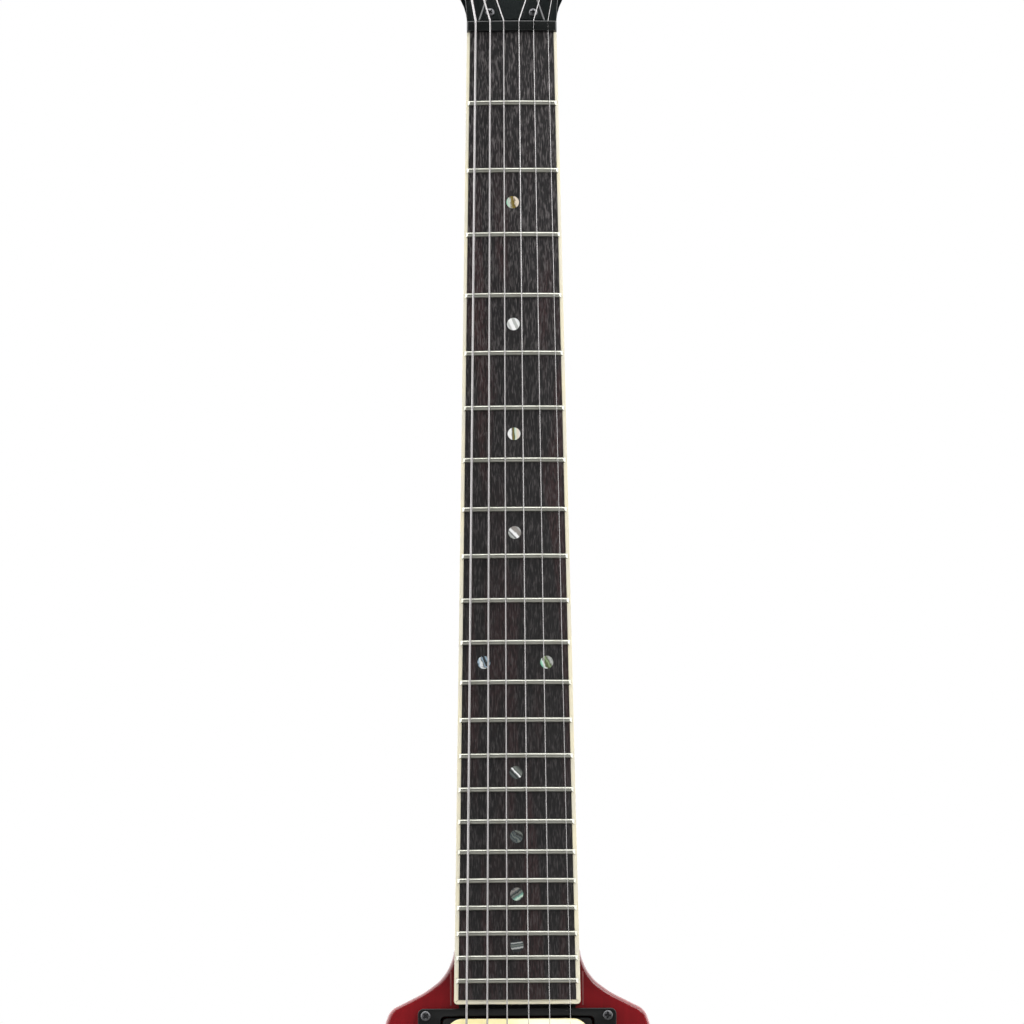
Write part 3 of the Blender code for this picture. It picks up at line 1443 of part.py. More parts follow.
def build_controls(controls):
    """Two volume knobs, a tone knob, the pickup switch, the jack and the cover behind them."""
    pots = (
        ("volume_knob_neck", "potentiometer_1"),
        ("volume_knob_bridge", "potentiometer_2"),
        ("tone_knob", "potentiometer_3"),
    )
    for index, (name, pot_name) in enumerate(pots):
        build_knob(name, pot_name, index * CONTROL_PITCH, controls)
    build_switch(3 * CONTROL_PITCH, controls)
    build_jack(3 * CONTROL_PITCH + JACK_PITCH, controls)
    lip = 2 * COVER_PLATE_LIP
    outline = rounded_box(
        CAVITY_WIDTH + lip,
        CAVITY_LENGTH + lip,
        CAVITY_CORNER_RADIUS + COVER_PLATE_LIP,
        (0, CAVITY_MARGIN - CAVITY_LENGTH / 2),
    )
    cover = front_plate(
        "control_cover", [outline], BODY_THICKNESS - COVER_PLATE_THICKNESS, BODY_THICKNESS
    )
    new_piece("control_cover", cover, "black plastic", controls)


# The whole guitar


def make_materials():
    """The materials, in the photograph's colours."""
    new_material("red lacquer", (0.21, 0.014, 0.018), 0.15)
    new_material("neck wood", (0.17, 0.012, 0.014), 0.2)
    new_material("fingerboard wood", (0.03, 0.024, 0.023), 0.45)
    new_material("binding cream", (0.80, 0.75, 0.60), 0.3)
    new_material("headstock black", (0.015, 0.018, 0.018), 0.15)
    new_material("black plastic", (0.013, 0.013, 0.013), 0.25)
    new_material("nut black", (0.012, 0.012, 0.012), 0.3)
    new_material("cream plastic", (0.93, 0.83, 0.42), 0.3)
    new_material("nickel", (0.62, 0.60, 0.57), 0.2, 1.0)
    new_material("plain steel", (0.50, 0.50, 0.50), 0.35, 1.0)
    new_material("brass", (0.70, 0.52, 0.25), 0.3, 1.0)
    new_material("string steel", (0.72, 0.71, 0.70), 0.2, 1.0)
    new_material("wound nickel", (0.62, 0.60, 0.58), 0.3, 1.0)


def stand_on_tips(guitar):
    """Moves the guitar so that its wing tips touch z = 0 and its box is centred above the origin."""
    graph = bpy.context.evaluated_depsgraph_get()
    points = []
    for piece in bpy.data.collections["guitar"].objects:
        if piece.type == "EMPTY":
            continue
        evaluated = piece.evaluated_get(graph)
        place = evaluated.matrix_world
        points += [place @ vertex.co for vertex in evaluated.to_mesh().vertices]
        evaluated.to_mesh_clear()
    low = [min(point[axis] for point in points) for axis in range(3)]
    high = [max(point[axis] for point in points) for axis in range(3)]
    guitar.location = (-(low[0] + high[0]) / 2, -(low[1] + high[1]) / 2, -low[2])


def main():
    """Builds the guitar."""
    for item in list(bpy.data.objects):
        bpy.data.objects.remove(item)
    new_collection("guitar")
    new_collection("cutters")
    make_materials()
    guitar = new_frame("guitar")
    neck = new_frame("neck_frame", guitar, NECK)
    head = new_frame("head_frame", neck, HEAD_ON_NECK)
    controls = new_frame("controls_frame", guitar, CONTROLS)

    build_body(guitar, controls)
    build_neck(guitar, neck, head)
    build_fingerboard(neck)
    build_nut(neck)
    build_truss_rod(neck, head)
    for number, x, z, side in post_places():
        build_tuner(number, x, z, side, head)
    build_strings(guitar)
    build_pickup("neck", NECK_RING_CENTRE, NECK_RING_HEIGHT, guitar)
    build_pickup("bridge", BRIDGE_RING_CENTRE, BRIDGE_RING_HEIGHT, guitar)
    build_bridge(guitar)
    build_string_anchors(guitar)
    build_controls(controls)
    build_strap_buttons(guitar)
    stand_on_tips(guitar)


main()
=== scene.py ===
"""Looks for the v-shaped electric guitar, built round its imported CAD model.

Every length is in metres, in the frame of the CAD model: +Z runs up the neck, the front faces -Y
and the low E string is at -X. Each sub-assembly is a class that holds its sizes and makes its own
pieces, and each finish is a small frozen class. Shapes are surfaces worked out with numpy.
"""

import json
import logging
import math
from dataclasses import dataclass, field
from enum import Enum

import bpy
import numpy as np
from mathutils import Matrix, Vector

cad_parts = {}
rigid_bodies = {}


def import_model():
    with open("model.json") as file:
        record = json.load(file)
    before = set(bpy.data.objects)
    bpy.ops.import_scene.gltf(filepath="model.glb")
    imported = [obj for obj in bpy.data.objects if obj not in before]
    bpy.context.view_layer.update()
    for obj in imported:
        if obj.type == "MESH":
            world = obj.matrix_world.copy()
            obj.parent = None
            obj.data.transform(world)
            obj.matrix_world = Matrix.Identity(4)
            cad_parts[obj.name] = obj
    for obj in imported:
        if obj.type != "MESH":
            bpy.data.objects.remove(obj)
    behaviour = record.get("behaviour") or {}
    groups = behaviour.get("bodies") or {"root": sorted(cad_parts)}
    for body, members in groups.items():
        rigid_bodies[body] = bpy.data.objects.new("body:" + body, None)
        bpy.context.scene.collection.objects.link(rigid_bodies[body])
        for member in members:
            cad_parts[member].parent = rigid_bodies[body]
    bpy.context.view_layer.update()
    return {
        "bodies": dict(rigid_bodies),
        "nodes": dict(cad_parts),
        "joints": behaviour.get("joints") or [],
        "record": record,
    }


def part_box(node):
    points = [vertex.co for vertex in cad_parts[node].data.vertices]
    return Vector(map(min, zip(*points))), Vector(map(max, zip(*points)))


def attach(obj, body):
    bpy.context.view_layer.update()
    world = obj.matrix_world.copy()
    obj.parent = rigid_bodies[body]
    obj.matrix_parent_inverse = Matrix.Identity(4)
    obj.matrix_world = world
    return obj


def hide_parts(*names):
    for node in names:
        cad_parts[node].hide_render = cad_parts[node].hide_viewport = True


Array = np.ndarray
Corner = tuple[float, float, float]
Colour = tuple[float, float, float]
log = logging.getLogger("guitar")

SEAM = 0.0001


# Places


def move(x: float = 0.0, y: float = 0.0, z: float = 0.0) -> Array:
    """A 4 by 4 matrix that moves points."""
    matrix = np.eye(4)
    matrix[:3, 3] = x, y, z
    return matrix


def turn(axis: str, degrees: float) -> Array:
    """A 4 by 4 matrix that turns points about X, Y or Z by the right-hand rule."""
    first, second = {"X": (1, 2), "Y": (2, 0), "Z": (0, 1)}[axis]
    angle = math.radians(degrees)
    matrix = np.eye(4)
    matrix[first, first] = matrix[second, second] = math.cos(angle)
    matrix[second, first] = math.sin(angle)
    matrix[first, second] = -math.sin(angle)
    return matrix


def placed(points: Array, matrix: Array) -> Array:
    """Points taken through a 4 by 4 matrix."""
    return points @ matrix[:3, :3].T + matrix[:3, 3]


FACE_FRONT = turn("X", 90)
FACE_BACK = turn("X", -90)


# Shapes


class Ends(Enum):
    """How the rows of a skin end."""

    FLAT = "a flat face at both ends"
    LOOP = "the last row meets the first"


@dataclass
class Shape:
    """Points, and faces with as many corners each as their array is wide.

    Attributes:
        points: The places of the points, n by 3.
        faces: Arrays of point numbers, one row for each face.
        wraps: The UV of each corner of the first array of faces, where the shape has any.
    """

    points: Array
    faces: list[Array]
    wraps: Array | None = None

    def at(self, matrix: Array) -> "Shape":
        """The same shape in another place."""
        return Shape(placed(self.points, matrix), self.faces, self.wraps)

    def volume(self) -> float:
        """Six times the room inside, below zero where the faces point inwards.

        Each face is cut into a fan of triangles, and each triangle adds the triple product of
        its corners.
        """
        total = 0.0
        for faces in self.faces:
            corners = self.points[faces]
            crosses = np.cross(corners[:, 1:-1], corners[:, 2:])
            total += np.einsum("ik,ijk->", corners[:, 0], crosses)
        return total

    def outward(self) -> "Shape":
        """The same shape with its faces pointing outwards."""
        if self.volume() >= 0:
            return self
        wraps = None if self.wraps is None else self.wraps[:, ::-1]
        return Shape(self.points, [faces[:, ::-1] for faces in self.faces], wraps)

    def mesh(self, name: str, sharp: float) -> bpy.types.Mesh:
        """A Blender mesh of the shape.

        Args:
            name: The mesh's name.
            sharp: Edges that bend by more than this many degrees stay sharp.

        Returns:
            The mesh, shaded smooth.
        """
        data = bpy.data.meshes.new(name)
        sizes = np.concatenate([np.full(len(faces), faces.shape[1]) for faces in self.faces])
        corners = np.concatenate([faces.ravel() for faces in self.faces]).astype(np.int32)
        data.vertices.add(len(self.points))
        data.vertices.foreach_set("co", self.points.astype(np.float32).ravel())
        data.loops.add(len(corners))
        data.loops.foreach_set("vertex_index", corners)
        data.polygons.add(len(sizes))
        starts = np.concatenate([[0], np.cumsum(sizes)[:-1]]).astype(np.int32)
        data.polygons.foreach_set("loop_start", starts)
        data.update(calc_edges=True)
        if self.wraps is not None:
            layer = data.uv_layers.new(name="UVMap")
            spread = np.zeros((len(corners), 2), np.float32)
            wraps = self.wraps.reshape(-1, 2)
            spread[: len(wraps)] = wraps
            layer.data.foreach_set("uv", spread.ravel())
        shade(data, sharp)
        return data


def shade(data: bpy.types.Mesh, sharp: float) -> None:
    """Shades a mesh smooth, apart from edges that bend by more than some degrees."""
    data.shade_smooth()
    data.set_sharp_from_angle(angle=math.radians(sharp))


def together(*shapes: Shape) -> Shape:
    """Several shapes as one, each keeping its own points."""
    starts = np.cumsum([0] + [len(shape.points) for shape in shapes])
    faces = [part + start for shape, start in zip(shapes, starts) for part in shape.faces]
    return Shape(np.concatenate([shape.points for shape in shapes]), faces)


def skin(points: Array, ends: Ends = Ends.FLAT, along: Array | None = None) -> Shape:
    """A closed skin over a grid of points.

    Each row is a ring, and each face joins two neighbours of a row to the same two of the next.

    Args:
        points: The grid, rows by columns by 3.
        ends: How the rows end.
        along: How far along the shape each row lies, for its UV.

    Returns:
        The shape, its faces pointing outwards.
    """
    rows, columns = points.shape[:2]
    index = np.arange(rows * columns).reshape(rows, columns)
    low, high = (index, np.roll(index, -1, 0)) if ends is Ends.LOOP else (index[:-1], index[1:])
    quads = np.stack([low, np.roll(low, -1, 1), np.roll(high, -1, 1), high], -1).reshape(-1, 4)
    faces = [quads]
    if ends is Ends.FLAT:
        faces += [index[:1, ::-1], index[-1:]]
    wraps = None
    if along is not None:
        around = np.arange(columns) / columns
        u = np.broadcast_to(around, (rows - 1, columns))
        on = u + 1 / columns
        v0 = np.broadcast_to(along[:-1, None], u.shape)
        v1 = np.broadcast_to(along[1:, None], u.shape)
        corners = [np.stack(pair, -1) for pair in ((u, v0), (on, v0), (on, v1), (u, v1))]
        wraps = np.stack(corners, -2).reshape(-1, 4, 2)
    return Shape(points.reshape(-1, 3), faces, wraps).outward()


def rounded(corners: list[Corner], closed: bool = True, step: float = 7.5) -> Array:
    """The points of a line whose corners (x, y, radius) are rounded by arcs.

    An arc touches both lines of its corner, so its centre lies radius / sin(half the angle) away
    from the corner, and it may use half of the line to the next round corner.

    Args:
        corners: The corners of the line.
        closed: Whether the last corner joins the first.
        step: The degrees between two points of an arc.

    Returns:
        The points, n by 2.
    """
    places = np.array([corner[:2] for corner in corners])
    count = len(corners)
    points = []
    for index, (x, y, radius) in enumerate(corners):
        corner = np.array([x, y])
        if not closed and index in (0, count - 1) or radius < SEAM / 10:
            points.append(corner[None])
            continue
        before, after = (index - 1) % count, (index + 1) % count
        back, on = places[before] - corner, places[after] - corner
        back_length, on_length = np.hypot(*back), np.hypot(*on)
        back, on = back / back_length, on / on_length
        if back @ on < -0.99999:
            points.append(corner[None])
            continue
        half = math.acos(np.clip(back @ on, -1, 1)) / 2
        room = min(
            back_length * (0.5 if corners[before][2] else 0.999),
            on_length * (0.5 if corners[after][2] else 0.999),
        )
        radius = min(radius, room * math.tan(half))
        middle = (back + on) / np.hypot(*(back + on))
        centre = corner + middle * radius / math.sin(half)
        start = corner + back * radius / math.tan(half) - centre
        spread = math.pi - 2 * half
        sense = 1 if back[0] * on[1] - back[1] * on[0] < 0 else -1
        steps = max(1, math.ceil(math.degrees(spread) / step))
        angles = math.atan2(start[1], start[0]) + sense * spread * np.arange(steps + 1) / steps
        points.append(centre + radius * np.stack([np.cos(angles), np.sin(angles)], 1))
    return np.concatenate(points)


def both_sides(half: list[Corner], *between: Corner) -> list[Corner]:
    """The corners of a shape that is the same on both sides, from its right half."""
    return [*half, *between, *[(-x, y, radius) for x, y, radius in reversed(half)]]


def rectangle(width: float, length: float, radius: float, x: float = 0.0, y: float = 0.0) -> Array:
    """The outline of a rectangle with round corners."""
    sides = ((1, 1), (-1, 1), (-1, -1), (1, -1))
    return rounded([(x + i * width / 2, y + j * length / 2, radius) for i, j in sides])


def circle(radius: float, sides: int = 24, start: float = 0.0) -> Array:
    """The points of a circle, the first one at start degrees."""
    angles = math.radians(start) + 2 * math.pi * np.arange(sides) / sides
    return radius * np.stack([np.cos(angles), np.sin(angles)], 1)


def inset(outline: Array, distance: float) -> Array:
    """A closed outline moved inwards.

    Each point moves along the mean of its two edges' normals, as far as the edges need.
    """
    edge = np.roll(outline, -1, 0) - outline
    edge /= np.hypot(*edge.T)[:, None]
    x, y = outline.T
    turned = 1 if (x * np.roll(y, -1) - y * np.roll(x, -1)).sum() > 0 else -1
    normal = turned * np.stack([-edge[:, 1], edge[:, 0]], 1)
    mean = normal + np.roll(normal, 1, 0)
    mean /= np.hypot(*mean.T)[:, None]
    return outline + mean * (distance / (mean * normal).sum(1))[:, None]


def stack(rows: list[tuple[Array, float]], ends: Ends = Ends.FLAT) -> Shape:
    """A skin over outlines of as many points each, each at its height along Z."""
    rings = [np.column_stack([outline, np.full(len(outline), z)]) for outline, z in rows]
    return skin(np.stack(rings), ends)


def slab(outline: Array, low: float, high: float, under: float, over: float, steps: int = 5) -> Shape:
    """A plate with round edges.

    From each flat face the rim runs round a quarter circle, and a narrow flat border keeps the
    face's shading flat.

    Args:
        outline: The plate's outline, n by 2.
        low: The height of its lower face.
        high: The height of its upper face.
        under: The radius of its lower edge.
        over: The radius of its upper edge.
        steps: The number of faces round each edge.

    Returns:
        The plate, lying in X and Y.
    """
    rows: list[tuple[Array, float]] = []
    angles = np.linspace(0, math.pi / 2, steps + 1)
    for radius, face, sense, order in ((under, low, 1, 1), (over, high, -1, -1)):
        ins = radius * (1 - np.sin(angles))
        ups = face + sense * radius * (1 - np.cos(angles))
        border = max(radius * 0.2, SEAM)
        rim = [(radius + border, face), *zip(ins, ups)]
        rows += [(inset(outline, distance), z) for distance, z in rim[::order]]
    return stack(rows)


def lathe(profile: Array, sides: int = 40, flutes: int = 0, depth: float = 0.0) -> Shape:
    """A turned shape: its profile (radius, height) goes round Z.

    With flutes, the radius falls by depth times the square of a sine of the angle.
    """
    angles = 2 * math.pi * np.arange(sides) / sides
    radius = np.maximum(profile[:, :1], 2e-5)
    waves = depth * np.sin(flutes * angles / 2) ** 2 if flutes else 0.0
    radius = radius - np.where(radius > 4 * depth, waves, 0.0)
    x, y = radius * np.cos(angles), radius * np.sin(angles)
    return skin(np.stack([x, y, np.broadcast_to(profile[:, 1:], x.shape)], -1))


def spun(corners: list[Corner], sides: int = 40, **cut: float) -> Shape:
    """A turned shape whose profile's corners (radius, height, rounding) are rounded."""
    return lathe(rounded(corners, closed=False, step=18), sides, **cut)


def tube(path: Array, radius: float, sides: int = 10) -> Shape:
    """A round wire along a path.

    The circle's first arm is carried from point to point with the least turn: at each point what
    lies along the wire is taken out of it.
    """
    runs = np.gradient(path, axis=0)
    runs /= np.linalg.norm(runs, axis=1)[:, None]
    arms = np.empty_like(path)
    arm = np.cross(runs[0], [0.31, 0.87, 0.39])
    for index, run in enumerate(runs):
        arm = arm - run * (arm @ run)
        arm /= np.linalg.norm(arm)
        arms[index] = arm
    others = np.cross(runs, arms)
    angles = 2 * math.pi * np.arange(sides) / sides
    across = arms[:, None] * np.cos(angles)[:, None] + others[:, None] * np.sin(angles)[:, None]
    steps = np.linalg.norm(np.diff(path, axis=0), axis=1)
    along = np.concatenate([[0], np.cumsum(steps)])
    return skin(path[:, None] + radius * across, along=along)


def disc(
    radius: float, low: float, high: float, under: float, over: float, sides: int, **cut: float
) -> Shape:
    """A disc or rod along Z, its lower edge rounded by under and its upper one by over."""
    return spun([(0, low, 0), (radius, low, under), (radius, high, over), (0, high, 0)], sides, **cut)


def ring(section: list[Corner], sides: int, step: float = 30) -> Shape:
    """A ring: a closed section of corners (radius, height, rounding) carried round Z."""
    angles = 2 * math.pi * np.arange(sides)[:, None] / sides
    radius, height = rounded(section, step=step).T
    x, y = radius * np.cos(angles), radius * np.sin(angles)
    return skin(np.stack([x, y, np.broadcast_to(height, x.shape)], -1), Ends.LOOP)


def flat_ring(inner: float, outer: float, low: float, high: float, soft: float, sides: int) -> Shape:
    """A flat ring along Z, its edges all rounded by soft."""
    return ring([(inner, low, soft), (outer, low, soft), (outer, high, soft), (inner, high, soft)], sides)


def cylinder(radius: float, low: float, high: float, sides: int = 32) -> Shape:
    """A plain round cutter along Z."""
    outline = circle(radius, sides)
    return stack([(outline, low), (outline, high)])


def block(x: tuple[float, float], y: tuple[float, float], z: tuple[float, float]) -> Shape:
    """A plain box, used as a cutter or hidden under other pieces."""
    outline = np.array([(x[0], y[0]), (x[1], y[0]), (x[1], y[1]), (x[0], y[1])])
    return stack([(outline, z[0]), (outline, z[1])])


def smooth_line(stations: Array, values: Array, places: Array) -> Array:
    """Values read off a smooth line through stations.

    Between two stations the line is a cubic whose slopes are those of the lines between the
    neighbouring stations.
    """
    slopes = np.gradient(values, stations)
    left = np.clip(np.searchsorted(stations, places, "right") - 1, 0, len(stations) - 2)
    width = stations[left + 1] - stations[left]
    t = (places - stations[left]) / width
    start, end = values[left], values[left + 1]
    rise0, rise1 = slopes[left] * width, slopes[left + 1] * width
    return (
        (2 * t**3 - 3 * t**2 + 1) * start
        + (t**3 - 2 * t**2 + t) * rise0
        + (3 * t**2 - 2 * t**3) * end
        + (t**3 - t**2) * rise1
    )


# Shader graphs


def paint(red: int, green: int, blue: int) -> Colour:
    """A colour written in screen values from 0 to 255, as the shader takes it."""
    return tuple(
        c / 12.92 if c <= 0.04045 else ((c + 0.055) / 1.055) ** 2.4
        for c in (red / 255, green / 255, blue / 255)
    )


class Value:
    """A shader socket that can stand in sums."""

    def __init__(self, graph: "Graph", socket: bpy.types.NodeSocket) -> None:
        """Wraps a socket of a graph."""
        self.graph = graph
        self.socket = socket

    def math(self, operation: str, *others: object) -> "Value":
        """A Math node on this value and others."""
        inputs = dict(enumerate((self, *others)))
        return self.graph.node("ShaderNodeMath", {"operation": operation}, inputs)

    def __add__(self, other: object) -> "Value":
        """This value plus another."""
        return self.math("ADD", other)

    def __sub__(self, other: object) -> "Value":
        """This value less another."""
        return self.math("SUBTRACT", other)

    def __rsub__(self, other: float) -> "Value":
        """A number less this value."""
        return self.graph.node("ShaderNodeMath", {"operation": "SUBTRACT"}, {0: other, 1: self})

    def __mul__(self, other: object) -> "Value":
        """This value times another."""
        return self.math("MULTIPLY", other)

    def __truediv__(self, other: object) -> "Value":
        """This value over another."""
        return self.math("DIVIDE", other)

    __radd__ = __add__
    __rmul__ = __mul__

    def wave(self) -> "Value":
        """The sine of this value."""
        return self.math("SINE")

    def rise(self, low: float, high: float) -> "Value":
        """From 0 at low to 1 at high, smoothly."""
        inputs = {"Value": self, "From Min": low, "From Max": high}
        return self.graph.node("ShaderNodeMapRange", {"interpolation_type": "SMOOTHSTEP"}, inputs)


class Graph:
    """The nodes of one material or world."""

    def __init__(self, tree: bpy.types.NodeTree, shader: bpy.types.Node | None = None) -> None:
        """Takes a node tree and its closing shader."""
        self.tree = tree
        self.shader = shader

    def node(self, kind: str, settings: dict, inputs: dict, output: int | str = 0) -> Value:
        """Adds a node.

        Args:
            kind: The node's type.
            settings: Its properties, such as a Math node's operation or a ramp's stops.
            inputs: Values or links, by socket name or number.
            output: The socket that is wanted.

        Returns:
            That socket.
        """
        node = self.tree.nodes.new(kind)
        for key, value in settings.items():
            if key == "stops":
                stops = node.color_ramp.elements
                while len(stops) < len(value):
                    stops.new(0.5)
                for stop, (share, colour) in zip(stops, value):
                    stop.position = share
                    stop.color = (*colour, 1)
            else:
                setattr(node, key, value)
        for key, value in inputs.items():
            self.join(value, node.inputs[key])
        return Value(self, node.outputs[output])

    def join(self, value: object, socket: bpy.types.NodeSocket) -> None:
        """Links a value to a socket, or writes a number or colour into it."""
        if isinstance(value, Value):
            self.tree.links.new(value.socket, socket)
        elif isinstance(value, tuple) and socket.type == "RGBA":
            socket.default_value = (*value, 1)
        else:
            socket.default_value = value

    def feed(self, **inputs: object) -> None:
        """Feeds the closing shader, a name's underscores standing for spaces."""
        for key, value in inputs.items():
            self.join(value, self.shader.inputs[key.replace("_", " ")])

    def place(self, stretch: Colour = (1, 1, 1), turned: float = 0.0, start: Colour = (0, 0, 0)) -> Value:
        """Object coordinates, moved to start, turned by degrees about Y and stretched."""
        coordinates = self.node("ShaderNodeTexCoord", {}, {}, "Object")
        inputs = {
            "Vector": coordinates,
            "Location": start,
            "Rotation": (0, math.radians(turned), 0),
            "Scale": stretch,
        }
        return self.node("ShaderNodeMapping", {"vector_type": "POINT"}, inputs)

    def axis(self, vector: Value, index: int) -> Value:
        """One coordinate of a vector."""
        return self.node("ShaderNodeSeparateXYZ", {}, {0: vector}, index)

    def noise(self, vector: Value, scale: float, detail: float = 2.0, twist: float = 0.0) -> Value:
        """Cloudy noise from 0 to 1."""
        inputs = {"Vector": vector, "Scale": scale, "Detail": detail, "Distortion": twist}
        return self.node("ShaderNodeTexNoise", {}, inputs, 0)

    def mix(self, share: object, first: object, second: object) -> Value:
        """The first colour where share is 0, the second where it is 1."""
        inputs = {0: share, 6: first, 7: second}
        return self.node("ShaderNodeMix", {"data_type": "RGBA"}, inputs, 2)

    def ramp(self, share: Value, stops: tuple) -> Value:
        """A colour off a ramp of (share, colour) stops."""
        return self.node("ShaderNodeValToRGB", {"stops": stops}, {0: share})

    def bump(self, height: Value, distance: float, strength: float = 1.0) -> Value:
        """A normal from a height, where distance is the height of 1 in metres."""
        inputs = {"Height": height, "Distance": distance, "Strength": strength}
        return self.node("ShaderNodeBump", {}, inputs)


# Finishes


@dataclass(frozen=True)
class Finish:
    """What every finish has: its name and the record's material slot, which is not used."""

    name: str
    slot: str

    def dress(self, graph: Graph) -> None:
        """Feeds the shader of the material."""
        raise NotImplementedError

    def material(self) -> bpy.types.Material:
        """The finish's material, made the first time."""
        found = bpy.data.materials.get(self.name)
        if found:
            return found
        material = bpy.data.materials.new(self.name)
        material.use_nodes = True
        self.dress(Graph(material.node_tree, material.node_tree.nodes["Principled BSDF"]))
        return material


@dataclass(frozen=True)
class Lacquer(Finish):
    """Clear gloss over stained wood, whose colour drifts slowly and along a faint grain.

    Attributes:
        deep: The darker colour.
        bright: The lighter colour.
        grain: The share of the streaks in the drift.
        roughness: How rough the stain is under the coat.
        middle: The Y of the wood's middle.
        flat: How far from the middle its flat faces begin.
        gloss: The weight of the coat on the faces.
        dull: The weight of the coat on the sides.
        shaded: The heights between which the colour darkens, a painted shade by the neck joint.
    """

    deep: Colour
    bright: Colour
    grain: float = 0.16
    roughness: float = 0.34
    middle: float = 0.0
    flat: float = 0.0
    gloss: float = 1.0
    dull: float = 0.2
    shaded: tuple[float, float] | None = None

    def dress(self, graph: Graph) -> None:
        """Feeds the shader: slow clouds, thin streaks up the grain and a glossy coat.

        The coat is full on the faces and round edges, and thinner where a point lies less than
        flat from the middle of the wood, on its sides.
        """
        clouds = graph.noise(graph.place((1, 1, 0.6)), 8.0, 1.0)
        streaks = graph.noise(graph.place((1, 1, 0.035)), 420.0, 3.0, 0.4)
        share = clouds.rise(0.32, 0.68) * (1 - self.grain) + streaks.rise(0.3, 0.7) * self.grain
        # painted shade: above the shaded heights the body's colour darkens towards the neck joint
        if self.shaded:
            share = share * (1 - graph.axis(graph.place(), 2).rise(*self.shaded) * 0.75)
        dust = graph.noise(graph.place(), 900.0, 2.0)
        depth = (graph.axis(graph.place(), 1) - self.middle).math("ABSOLUTE")
        coat = depth.rise(self.flat - 0.001, self.flat + 0.001) * (self.gloss - self.dull) + self.dull
        graph.feed(
            Base_Color=graph.mix(share, self.deep, self.bright),
            Roughness=dust * 0.06 + self.roughness,
            Normal=graph.bump(graph.noise(graph.place((1, 1, 0.5)), 38.0, 1.0), 0.00004),
            Coat_Weight=coat,
            Coat_Roughness=0.03,
            Specular_IOR_Level=0.08,
        )


@dataclass(frozen=True)
class Rosewood(Finish):
    """Dark fingerboard wood: short pale pores that lean a little, and bands of warmer brown.

    Attributes:
        dark: The wood between its pores.
        pale: The pores, dusty with wear.
        warm: The browner bands.
        lean: How far the pores lean, in degrees.
        cool: The height above which no band is brown.
    """

    dark: Colour
    pale: Colour
    warm: Colour
    lean: float = 3.5
    cool: float = 0.90

    def dress(self, graph: Graph) -> None:
        """Feeds the shader: pores stretched up the board over broad bands of colour.

        The board is paler and its pores stand out more towards the nut.
        """
        fine = graph.noise(graph.place((1, 1, 0.12), self.lean), 1700.0, 2.0, 0.2)
        short = graph.noise(graph.place((1, 1, 0.20), -self.lean), 1100.0, 2.0, 0.4)
        bands = graph.noise(graph.place((1, 1, 0.07)), 95.0, 2.0, 0.5)
        height = graph.axis(graph.place(), 2)
        share = bands.rise(0.48, 0.64) * height.rise(self.cool, self.cool - 0.12)
        warm = graph.mix(share, self.dark, self.warm)
        pores = fine.rise(0.52, 0.66) * 0.6 + short.rise(0.54, 0.68) * 0.5
        dark = graph.mix(fine.rise(0.50, 0.38) * 0.8, warm, paint(16, 15, 16))
        nutward = height.rise(0.62, 0.96)
        wood = graph.mix(pores * (nutward * 0.35 + 0.6), dark, self.pale)
        graph.feed(
            # darker towards the body end of the board, paler towards the nut
            Base_Color=graph.mix(0.52 - nutward * 0.52, wood, paint(14, 13, 13)),
            Roughness=0.55 - pores * 0.10,
            Normal=graph.bump(pores, 0.00005, 0.7),
            Specular_IOR_Level=0.25,
        )


@dataclass(frozen=True)
class Plastic(Finish):
    """Moulded plastic with a soft, slightly uneven gloss."""

    colour: Colour
    tint: Colour
    roughness: float = 0.3
    coat: float = 0.0
    specular: float = 0.25

    def dress(self, graph: Graph) -> None:
        """Feeds the shader: clouds of a second tint and a fine moulded surface."""
        clouds = graph.noise(graph.place(), 55.0, 3.0)
        fine = graph.noise(graph.place(), 1800.0, 2.0)
        graph.feed(
            Base_Color=graph.mix(clouds.rise(0.35, 0.7), self.colour, self.tint),
            Roughness=clouds * 0.08 + fine * 0.05 + (self.roughness - 0.06),
            Normal=graph.bump(fine, 0.00001, 0.5),
            Coat_Weight=self.coat,
            Coat_Roughness=0.05,
            Specular_IOR_Level=self.specular,
        )


@dataclass(frozen=True)
class Metal(Finish):
    """Plated or drawn metal with faint scratches and a few duller clouds."""

    colour: Colour
    dull: Colour
    roughness: float = 0.2
    brushed: Colour = (1, 1, 1)

    def dress(self, graph: Graph) -> None:
        """Feeds the shader: scratches along the brushed direction and clouds of tarnish."""
        clouds = graph.noise(graph.place(), 130.0, 3.0)
        lines = graph.noise(graph.place(self.brushed), 2400.0, 2.0)
        graph.feed(
            Base_Color=graph.mix(clouds.rise(0.45, 0.75), self.colour, self.dull),
            Roughness=clouds * 0.10 + lines * 0.06 + (self.roughness - 0.08),
            Metallic=1.0,
            Normal=graph.bump(lines, 0.000004, 0.6),
        )


@dataclass(frozen=True)
class WoundWire(Finish):
    """Round wire wound on a core: ridges that climb by one pitch on each turn, painted shade between."""

    colour: Colour
    groove: Colour
    pitch: float = 0.0003
    roughness: float = 0.28

    def dress(self, graph: Graph) -> None:
        """Feeds the shader: a sine of the way along less the way round gives the ridges."""
        wrap = graph.node("ShaderNodeUVMap", {"uv_map": "UVMap"}, {})
        turns = graph.axis(wrap, 1) / self.pitch + graph.axis(wrap, 0)
        ridge = (turns * (2 * math.pi)).wave() * 0.5 + 0.5
        # the groove colour is painted shade in the crevices between the wraps
        graph.feed(
            Base_Color=graph.mix(ridge.rise(0.0, 0.45), self.groove, self.colour),
            Roughness=(1 - ridge) * 0.15 + self.roughness,
            Metallic=1.0,
            Normal=graph.bump(ridge, 0.00005, 0.8),
        )


